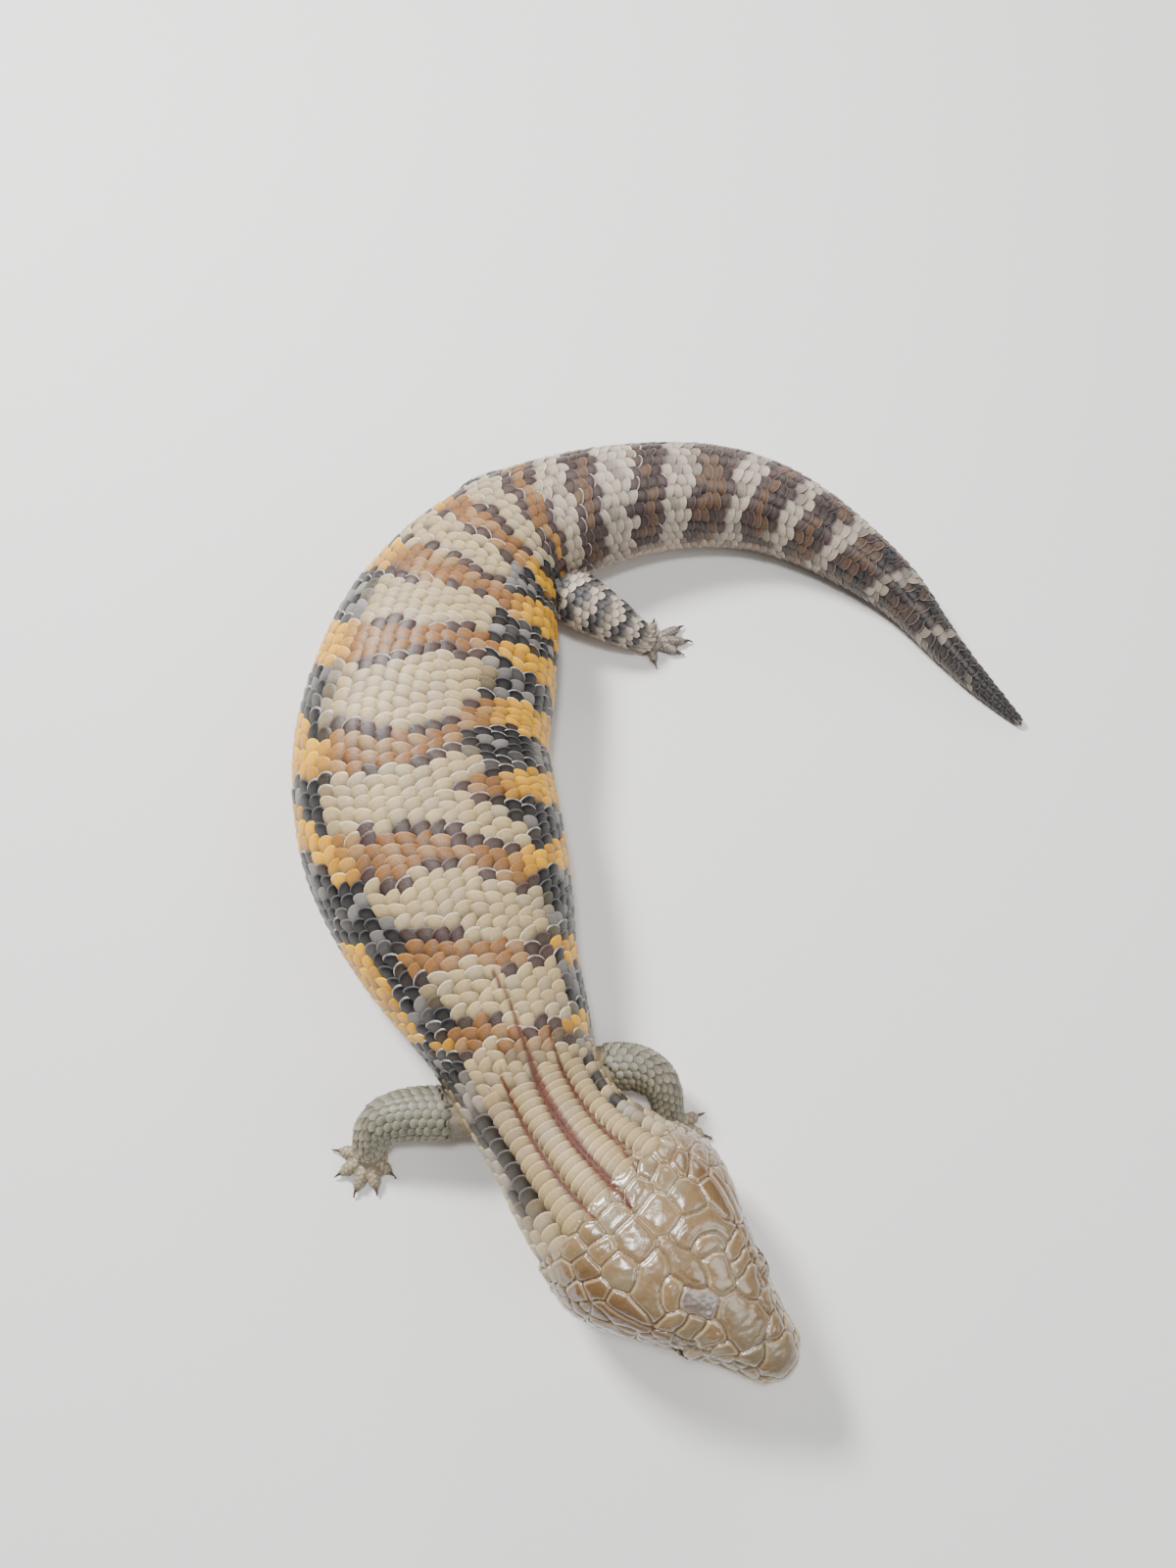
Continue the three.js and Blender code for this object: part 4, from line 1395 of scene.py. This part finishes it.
# %% The layout of the shields
# Plates of the crown, seen from above: (reach of the plate, places as (across, along)). They
# are given for one side, and the other side mirrors them.
MIDDLE_SHIELDS = [
    (2.5, [(-1.6, 3.0), (0, 3.9), (1.6, 3.0)]),
    (1.9, [(-1.6, 9.8), (1.6, 9.8), (0, 14.4), (-1.6, 9.8)]),
    (1.35, [(-0.4, 21), (-0.5, 23.2), (0, 27)]),
]
PAIRED_SHIELDS = [
    (1.4, [(2.3, 6.5), (4.2, 7.2)]),
    (1.45, [(1.5, 17.2), (3.2, 20)]),
    (1.35, [(4.9, 10.3), (5.8, 11.2)]),
    (1.75, [(4.6, 13.8), (6, 14.5)]),
    (1.25, [(5.7, 16.9), (7, 17)]),
    (1.2, [(6.8, 19.1), (8.1, 19.8)]),
    (1.25, [(3.9, 22.7), (5.7, 21.9)]),
    (1.5, [(8.2, 22.4), (7.4, 24.9), (5.5, 26.3), (2.6, 26.7)]),
    (0.8, [(7.1, 12.1), (7.3, 12.5)]),
    (0.8, [(7.9, 14.2), (8.1, 14.7)]),
    (0.8, [(8.6, 16.3), (8.8, 16.8)]),
    (0.9, [(9.6, 18.6), (9.9, 19.2)]),
    (1.15, [(9.9, 23.4), (11, 28)]),
    (0.75, [(11.4, 22.2), (13.2, 28.8)]),
    (0.75, [(13, 22.8), (14.9, 27.8)]),
    (2.15, [(2.6, 30.5), (2.7, 31.9)]),
    (1.9, [(7.5, 29.4), (7.8, 30.7)]),
    (1.5, [(11.6, 31.1), (12, 31.5)]),
    (1.3, [(14.2, 32.4), (14.4, 32.8)]),
    (1.6, [(10.6, 33.8), (10.9, 34.2)]),
    (1.65, [(7, 34.1), (7.6, 34.4)]),
    (1.7, [(2.4, 36), (3.4, 36.4)]),
    (1.5, [(6.2, 37.2), (7, 37.6)]),
    (1.4, [(13.6, 36), (13.8, 36.4)]),
    (1.6, [(9.8, 37.3), (10.2, 37.6)]),
    (1.8, [(2.7, 39.2), (4.2, 39.6)]),
    (1.7, [(7.4, 40.4), (8.6, 40.6)]),
]
SCARRED = (1, -1)  # one plate, by its number in the list and its side, is worn silvery grey
LIP_TILE = 2.75  # width of the tiles on the lips
FILL_TILE = 2.55  # width of the small plates that fill the rest
# Plates between the lip and the crown, on the side of the snout: (along, height, reach).
SNOUT_SIDE = [(2.5, 14.6, 1.2), (5.4, 15, 1.4), (8.2, 15, 1.4), (10.8, 15.3, 1.2)]
BROW_SIDE = [(7.2, 17.6), (10, 18.6)]
CHIN_PAIRS = [(2.2, 8), (3, 12), (3.6, 16.2)]
LID_RINGS = ((0, 3.0, 13), (1, 4.3, 13))  # ring, radius round the eye, number of plates
EYE_LOOK = (0.95, 0.22, 0.12)  # out, up and forward


def lip_level(s):
    """Height of the line where the lips meet."""
    return np.interp(s, [0, 5, 12, 18, 24, 32, 41.5], [12.2, 11.8, 11.1, 10.9, 11.8, 12.3, 12])


def spine_point(s, across, z):
    """A point beside the line of the back, at a height over the floor."""
    place, _, left = stations(np.array(float(s)))
    return Vector((*(place + left * across), z))


def crown_point(across, s):
    """The point of the crown straight under a place of the drawing."""
    hit = trunk_tree.ray_cast(spine_point(s, across, ABOVE), -UP)[0]
    return np.array(hit if hit is not None else spine_point(s, across, 20))


def chin_point(across, s):
    """The point of the chin straight over a place of the drawing."""
    hit = trunk_tree.ray_cast(spine_point(s, across, BELOW), UP)[0]
    return np.array(hit if hit is not None else spine_point(s, across, 2))


def cheek_point(side, s, z):
    """The point that is met from one side at a height over the floor."""
    left = Vector((*stations(np.array(float(s)))[2], 0))
    hit = trunk_tree.ray_cast(spine_point(s, BESIDE * side, z), -left * side)[0]
    return np.array(hit if hit is not None else spine_point(s, 0, z))


def snout_point(across, z):
    """The point that is met from the front at a height over the floor."""
    way = Vector((*stations(np.array(0.0))[1], 0))
    hit = trunk_tree.ray_cast(spine_point(0, across, z) - way * 20, way)[0]
    return np.array(hit if hit is not None else spine_point(0, across, z))


def crown_shields(side):
    """Plates of the crown on one side. They lean a little, so the sides aren't twins."""
    for index, (reach, line) in enumerate(PAIRED_SHIELDS):
        kind = "scar" if (index, side) == SCARRED else "crown"
        lean = 0.3 * side * math.sin(index * 2.3)
        yield reach, kind, [crown_point(side * x + lean * 0.5, s + lean) for x, s in line]


def lip_shields(side):
    """Upright tiles of the upper lip, and then of the lower one."""
    for k in range(8):
        s = 2.9 + LIP_TILE * k
        level = lip_level(s)
        yield 1.35, "lip", [cheek_point(side, s, level + 1), cheek_point(side, s, level + 2.2)]
    for k in range(7):
        s = 3.4 + LIP_TILE * 1.12 * k
        level = lip_level(s)
        yield 1.35, "lip", [cheek_point(side, s, level - 1), cheek_point(side, s, level - 1.9)]


def snout_shields(side):
    """Plates on the side of the snout."""
    for s, z, reach in SNOUT_SIDE:
        yield reach, "side", [cheek_point(side, s, z), cheek_point(side, s, z + 0.8)]
    for s, z in BROW_SIDE:
        yield 1.2, "side", [cheek_point(side, s, z)]


def lid_shields(side):
    """Two rings of small plates on the lids, found by rays towards the eye."""
    look = eye_look[side]
    eye = eye_places["left" if side > 0 else "right"]
    level_way = np.cross(look, [0, 0, 1.0])
    level_way /= np.linalg.norm(level_way)
    lid_way = np.cross(level_way, look)
    for ring, radius, count in LID_RINGS:
        for k in range(count):
            angle = 2 * math.pi * (k + 0.5 * ring) / count
            out = level_way * math.cos(angle) * 1.12 + lid_way * math.sin(angle)
            start = Vector(eye + out * radius + look * 9)
            hit = trunk_tree.ray_cast(start, Vector(-look), 11)
            if hit[0] is not None:
                yield 0.45 + 0.3 * ring, "lid", [np.array(hit[0])]


def end_shields():
    """Plates at the front of the lips and under the chin."""
    yield 1.1, "lip", [snout_point(-1.2, 13.6), snout_point(1.2, 13.6)]
    yield 1.1, "lip", [snout_point(-1, 10.4), snout_point(1, 10.4)]
    yield 1.6, "chin", [chin_point(0, 4.6)]
    for side in (-1, 1):
        for x, s in CHIN_PAIRS:
            yield 1.7, "chin", [chin_point(side * x, s - 0.8), chin_point(side * x, s + 0.8)]


def shield_lines():
    """Every plate of the head as (reach, kind, line of places)."""
    shields = [
        (reach, "crown", [crown_point(x, s) for x, s in line]) for reach, line in MIDDLE_SHIELDS
    ]
    for side in (-1, 1):
        for family in (crown_shields, lip_shields, snout_shields, lid_shields):
            shields.extend(family(side))
    shields.extend(end_shields())
    return [(reach, kind, np.array(line)) for reach, kind, line in shields]


def fill_spots(shields):
    """Small plates in staggered rows wherever no large plate reaches."""
    extra = []
    for row, s in enumerate(np.arange(3, 52, FILL_TILE * 0.9)):
        girth = float(half_girth(s))
        count = max(3, round(girth / FILL_TILE))
        for k in range(-count, count):
            wander = hash_noise(row, k + 40, 9) - 0.5
            v = (k + 0.5 + 0.5 * (row % 2)) / count
            at = s + wander * 0.9
            place = read_grid(trunk_points, np.array(at), np.array(v))
            room = min(
                line_distance(place[None], line)[0] - reach for reach, _, line in shields
            )
            if room > 0.95:
                extra.append((0.9 + wander * 0.4, "side", place[None]))
    return shields + extra


def line_distance(points, line):
    """Distances of points from a bent line."""
    best = np.full(len(points), 1e9)
    for a, b in zip(line[:-1], line[1:]) if len(line) > 1 else [(line[0], line[0])]:
        way = b - a
        t = ((points - a) @ way) / max(way @ way, 1e-9)
        nearest = a + np.clip(t, 0, 1)[:, None] * way
        best = np.minimum(best, np.linalg.norm(points - nearest, axis=1))
    return best


eye_look = {}
for side in (-1, 1):
    _, way, left = stations(np.array(EYE_ALONG))
    out, up, ahead = EYE_LOOK
    look = np.array([*(left * side * out - way * ahead), up])
    eye_look[side] = look / np.linalg.norm(look)
shields = fill_spots(shield_lines())
print("shields:", len(shields))

# %% [markdown]
# The plates are pressed into a fine copy of the head and neck. They could be made one by one,
# like the scales, but real ones are grown together, and one closed surface shows that best.
# For each corner the nearest plate is looked up, and the distance to its border decides
# whether the corner is lifted with the plate or sunk into the groove.

# %% Pressing the shields
HEAD_VOXEL = 0.25
MOUTH_CORNER = 23.5  # distance from the snout
HEAD_END = 47.5  # the copy ends under the scales of the nape
PUFF = 0.26  # how far a plate stands up
SWELLING = 0.2  # and how much more towards its middle
GROOVE_DEPTH, GROOVE_WIDTH = 0.2, 0.16
MOUTH_DEPTH, MOUTH_WIDTH = 0.34, 0.3
KIND_RISE = {"lid": 0.5, "lip": 0.75, "crown": 1.25}  # other plates stand up by 0.9
EAR_RIM = 0.3  # height of the raised rim round the ear opening
UNDER_NAPE = 0.75  # the copy's end sinks this far under the scales of the nape


def bell(value, middle, width):
    """1 at the middle, falling off softly to both sides."""
    return np.exp(-(((value - middle) / width) ** 2))


def cut_behind(obj, s):
    """Cuts an object off behind a station of the spine and closes the cut."""
    place, way, _ = stations(np.array(float(s)))
    select_only(obj)
    bpy.ops.object.mode_set(mode="EDIT")
    bpy.ops.mesh.select_all(action="SELECT")
    bpy.ops.mesh.bisect(
        plane_co=(*(place * MM), 0), plane_no=(*way, 0), clear_outer=True, use_fill=True
    )
    bpy.ops.object.mode_set(mode="OBJECT")


def nearest_shields(points):
    """For each point, the number of its plate and the distance to the plate's border."""
    first = np.full(len(points), 1e9)
    second = np.full(len(points), 1e9)
    cell = np.zeros(len(points), int)
    for index, (extent, _, line) in enumerate(shields):
        near = np.abs(points - line.mean(0)).max(1) < 9
        gap = np.full(len(points), 1e9)
        gap[near] = line_distance(points[near], line) - extent
        closer = gap < first
        second = np.where(closer, first, np.minimum(second, gap))
        cell = np.where(closer, index, cell)
        first = np.where(closer, gap, first)
    return cell, np.clip((second - first) / 2, 0, 4)


def plate_height(points, cell, edge, kinds):
    """How far the plates stand up: swollen, some with a growth ring, and a little wavy."""
    puff = PUFF * (1 - np.exp(-edge / 0.24)) + SWELLING * (1 - np.exp(-edge / 1.1))
    puff = puff - 0.07 * bell(edge, 0.95, 0.22) * (hash_noise(cell + 1, 8) > 0.5)
    x, y, z = points.T
    waves = soft_noise(x / 0.9, (y + z) / 0.9, 15)
    waves = waves + soft_noise(x / 2.1, (y - z) / 2.1, 16)
    scratches = soft_noise(x * 1.3, y * 3, 14) * (kinds == "scar") * 0.09
    return puff + (0.045 * waves + scratches) * smoothstep(0.1, 0.7, edge)


head = copy_nodes(["head", "neck"], "head_shields")
apply_modifier(head, "DISPLACE", strength=SWELL * MM, mid_level=0)
cut_behind(head, HEAD_END)
apply_modifier(head, "REMESH", mode="VOXEL", voxel_size=HEAD_VOXEL * MM, use_smooth_shade=True)
apply_modifier(head, "SMOOTH", factor=0.5, iterations=7)

places = corner_places(head)
cell, edge = nearest_shields(places)
kinds = np.array([kind for _, kind, _ in shields])[cell]
s, turn, share, depth = locate(places)
level = lip_level(s)
ear = ear_reach(s, share, places[:, 2])
mouth = bell(places[:, 2], level, MOUTH_WIDTH) * smoothstep(MOUTH_CORNER, 22, s)

# Nothing is pressed inside the eye sockets, the nostrils and the ears.
in_open = smoothstep(-0.9, -0.3, -depth)
rise = np.select([kinds == kind for kind in KIND_RISE], list(KIND_RISE.values()), 0.9)
groove = GROOVE_DEPTH * bell(edge, 0, GROOVE_WIDTH)
press = (plate_height(places, cell, edge, kinds) * rise - groove) * in_open
press = press - MOUTH_DEPTH * mouth * in_open
press = press + EAR_RIM * bell(ear, 1.35, 0.3) * (s < 40)
under = UNDER_NAPE * smoothstep(38, 41, s) * smoothstep(1.6, 2.4, ear)
places = places + corner_normals(head) * (press - SWELL - under)[:, None]
places[:, 2] = np.maximum(places[:, 2], 0.0)
set_corners(head, places)
print("head corners:", len(places))

# %% [markdown]
# The crown is tan horn worn to olive. The temples are darker, the lips are cream, and the
# throat has the colour of the belly. A plate's rim is pale, partly its own colour and partly a
# painted highlight, and its groove is dark, which makes the plates read as separate ones. All of
# this is worked out corner by corner from the same borders that pressed the plates, so that
# colour and shape can't drift apart.

# %% Colour of the head
def shield_colours():
    """The colour of every corner of the head, by its plate and by where it is."""
    key = hash_noise(cell + 1, 17)
    x, y, z = places.T
    # Horn with faint growth rings and olive wear, and darker on its sides.
    grain = soft_noise(x * 1.7, y * 1.7 + z, 12)
    rings = np.sin(edge * 9 + 6 * key) * 0.03
    tan = HEAD_TAN * (0.9 + 0.2 * key + 0.06 * grain + rings)[:, None]
    worn = soft_noise(x / 3.4, y / 3.4, 13)
    tan = mix(tan, OLIVE * 1.15, smoothstep(-0.2, 0.7, worn) * 0.45)
    tan = tan * (1 - 0.28 * smoothstep(21, 14, z) * smoothstep(level + 1, level + 3, z))[:, None]
    # Temples and the worn plate.
    arc = np.abs(share) * half_girth(s)
    temple = smoothstep(13, 19, s) * smoothstep(39, 32, s) * smoothstep(8, 12, arc)
    temple = temple * smoothstep(level + 1, level + 3.5, z)
    tan = mix(tan, TEMPLE * (0.9 + 0.3 * key)[:, None], temple * 0.8)
    scratch = np.abs(soft_noise(x * 1.3, y * 3, 14))
    tan = mix(tan, SCAR * (0.6 + 0.7 * scratch)[:, None], (kinds == "scar") * 0.85)
    # Lips, throat and nape.
    colour = mix(tan, LIP, smoothstep(level + 4.2, level - 0.6, z) * 0.75)
    colour = mix(colour, BELLY, smoothstep(level - 1.5, level - 5, z))
    nape = smoothstep(36, 41, s) * smoothstep(16, 22, z)
    colour = mix(colour, CREAM * 0.8, nape * 0.3)
    # Pale rims, dark grooves and the lines of the neck; then the mouth and the openings, darkened
    # with painted shade.
    # The pale rim is partly the plates' own colour and partly a painted highlight on the swollen
    # edge.
    rim = bell(edge, 0.3, 0.14) * (0.12 + 0.38 * key)
    colour = mix(colour, LIP * 1.1, rim * (1 - smoothstep(level, level - 3, z)))
    groove = bell(edge, 0, GROOVE_WIDTH) * np.where(z < level - 2, 0.25, 0.45)
    colour = mix(colour, GROOVE_AND_SHADE, groove)
    colour = mix(colour, RUST, neck_lines(s, share) * (s > 35) * 0.9)
    # Painted shade in the crease of the mouth and in the openings.
    colour = mix(colour, GROOVE_AND_SHADE * 0.4, smoothstep(0.1, 0.5, mouth) * 0.95)
    opening_shade = np.maximum(smoothstep(0.5, 1.1, depth), smoothstep(1.1, 0.75, ear))
    return mix(colour, GROOVE_AND_SHADE * 0.35, opening_shade * 0.9)


store_colours(head, shield_colours())
head.data.materials.append(SHIELD_FINISH)
bake = head.data.uv_layers.new(name="OFBake")
corner_of = np.empty(len(head.data.loops), int)
head.data.loops.foreach_get("vertex_index", corner_of)
unwrap = np.stack([inset(s / (HEAD_END + 1)), inset((share + 1) / 2)], -1)
bake.data.foreach_set("uv", unwrap[corner_of].ravel())
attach(head, "root")
print("head triangles:", count_triangles(head))

# %% [markdown]
# ## Eyes
#
# The eye of this lizard is small and sits under a heavy lid. Only a slit shows: a dark round
# pupil in a copper iris, wet and glossy. It is a ball whose pole looks out of the slit, so
# that the rings of the mesh are the rings of the iris.

# %% Two eyes
EYE_RADIUS = 2.85
PUPIL_EDGE = (15, 19)  # degrees from the pole, from the dark to the copper
IRIS_EDGE = (34, 44)  # where the iris darkens towards its rim
WHITE_EDGE = (42, 47)
PUPIL = linear(8, 7, 8)
IRIS = linear(120, 66, 26)
EYE_WHITE = linear(52, 38, 30)

EYE_FINISH = new_material("eye", 0.08, 1.0, 0.1, 0.0, 0.4)


def make_eye(side, name, node):
    """An eyeball in place of a solid one, turned so that its pole looks out of the lids."""
    bpy.ops.object.select_all(action="DESELECT")
    bpy.ops.mesh.primitive_uv_sphere_add(segments=48, ring_count=48, radius=EYE_RADIUS * MM)
    eye = bpy.context.object
    eye.name = name
    ball = corner_places(eye)
    angle = np.degrees(np.arccos(np.clip(ball[:, 2] / EYE_RADIUS, -1, 1)))
    spin = np.arctan2(ball[:, 1], ball[:, 0])
    streak = 0.75 + 0.4 * np.abs(np.sin(spin * 13 + 2 * np.sin(spin * 5)))
    iris = mix(IRIS[None] * streak[:, None], IRIS * 0.3, smoothstep(*IRIS_EDGE, angle))
    colour = mix(PUPIL, iris, smoothstep(*PUPIL_EDGE, angle))
    colour = mix(colour, EYE_WHITE, smoothstep(*WHITE_EDGE, angle))
    store_colours(eye, colour)
    turn_to = Vector(eye_look[side]).to_track_quat("Z", "Y").to_matrix().to_4x4()
    eye.data.transform(Matrix.Translation(Vector(eye_places[node.split("_")[1]]) * MM) @ turn_to)
    select_only(eye)
    bpy.ops.object.shade_smooth()
    eye.data.materials.append(EYE_FINISH)
    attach(eye, "root")
    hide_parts(node)
    print(name, "triangles:", count_triangles(eye))


make_eye(1, "eyeball_left", "eye_left")
make_eye(-1, "eyeball_right", "eye_right")

# %% [markdown]
# ## Floor and light
#
# The model lies on a plain pale floor. The key lamp is small and low, so that each scale
# shows its edge, and three weaker lamps and a pale sky keep the shadows soft.

# %% Floor and lamps
FLOOR_SIZE = 3  # metres
FLOOR_DROP = 0.0001  # metres under the model, so that the two never share a surface
FLOOR_GREY = (0.72, 0.71, 0.69, 1)

bpy.ops.object.select_all(action="DESELECT")
bpy.ops.mesh.primitive_plane_add(size=FLOOR_SIZE, location=(0, 0, -FLOOR_DROP))
floor = bpy.context.object
floor.name = "floor"
paper = bpy.data.materials.new("pale_floor")
paper.use_nodes = True
paper_shader = paper.node_tree.nodes["Principled BSDF"]
paper_shader.inputs["Base Color"].default_value = FLOOR_GREY
paper_shader.inputs["Roughness"].default_value = 0.9
floor.data.materials.append(paper)

# Each lamp: place in metres, size, power in watts.
LAMPS = {
    "key_lamp": ((-0.32, 0.29, 0.46), 0.14, 7.5),
    "top_lamp": ((-0.05, -0.04, 0.62), 0.08, 2.2),
    "fill_lamp": ((0.45, -0.25, 0.5), 0.4, 2.0),
    "back_lamp": ((0.2, 0.55, 0.3), 0.2, 1.4),
}
for name, (place, size, power) in LAMPS.items():
    bpy.ops.object.select_all(action="DESELECT")
    bpy.ops.object.light_add(type="AREA", location=place)
    lamp = bpy.context.object
    lamp.name = name
    lamp.data.size = size
    lamp.data.energy = power
    aim = -Vector(place)
    lamp.rotation_euler = aim.to_track_quat("-Z", "Y").to_euler()
world = bpy.data.worlds.new("studio")
bpy.context.scene.world = world
world.use_nodes = True
sky = world.node_tree.nodes["Background"]
sky.inputs["Color"].default_value = (0.93, 0.96, 1, 1)
sky.inputs["Strength"].default_value = 0.24
print("lamps:", len(LAMPS))
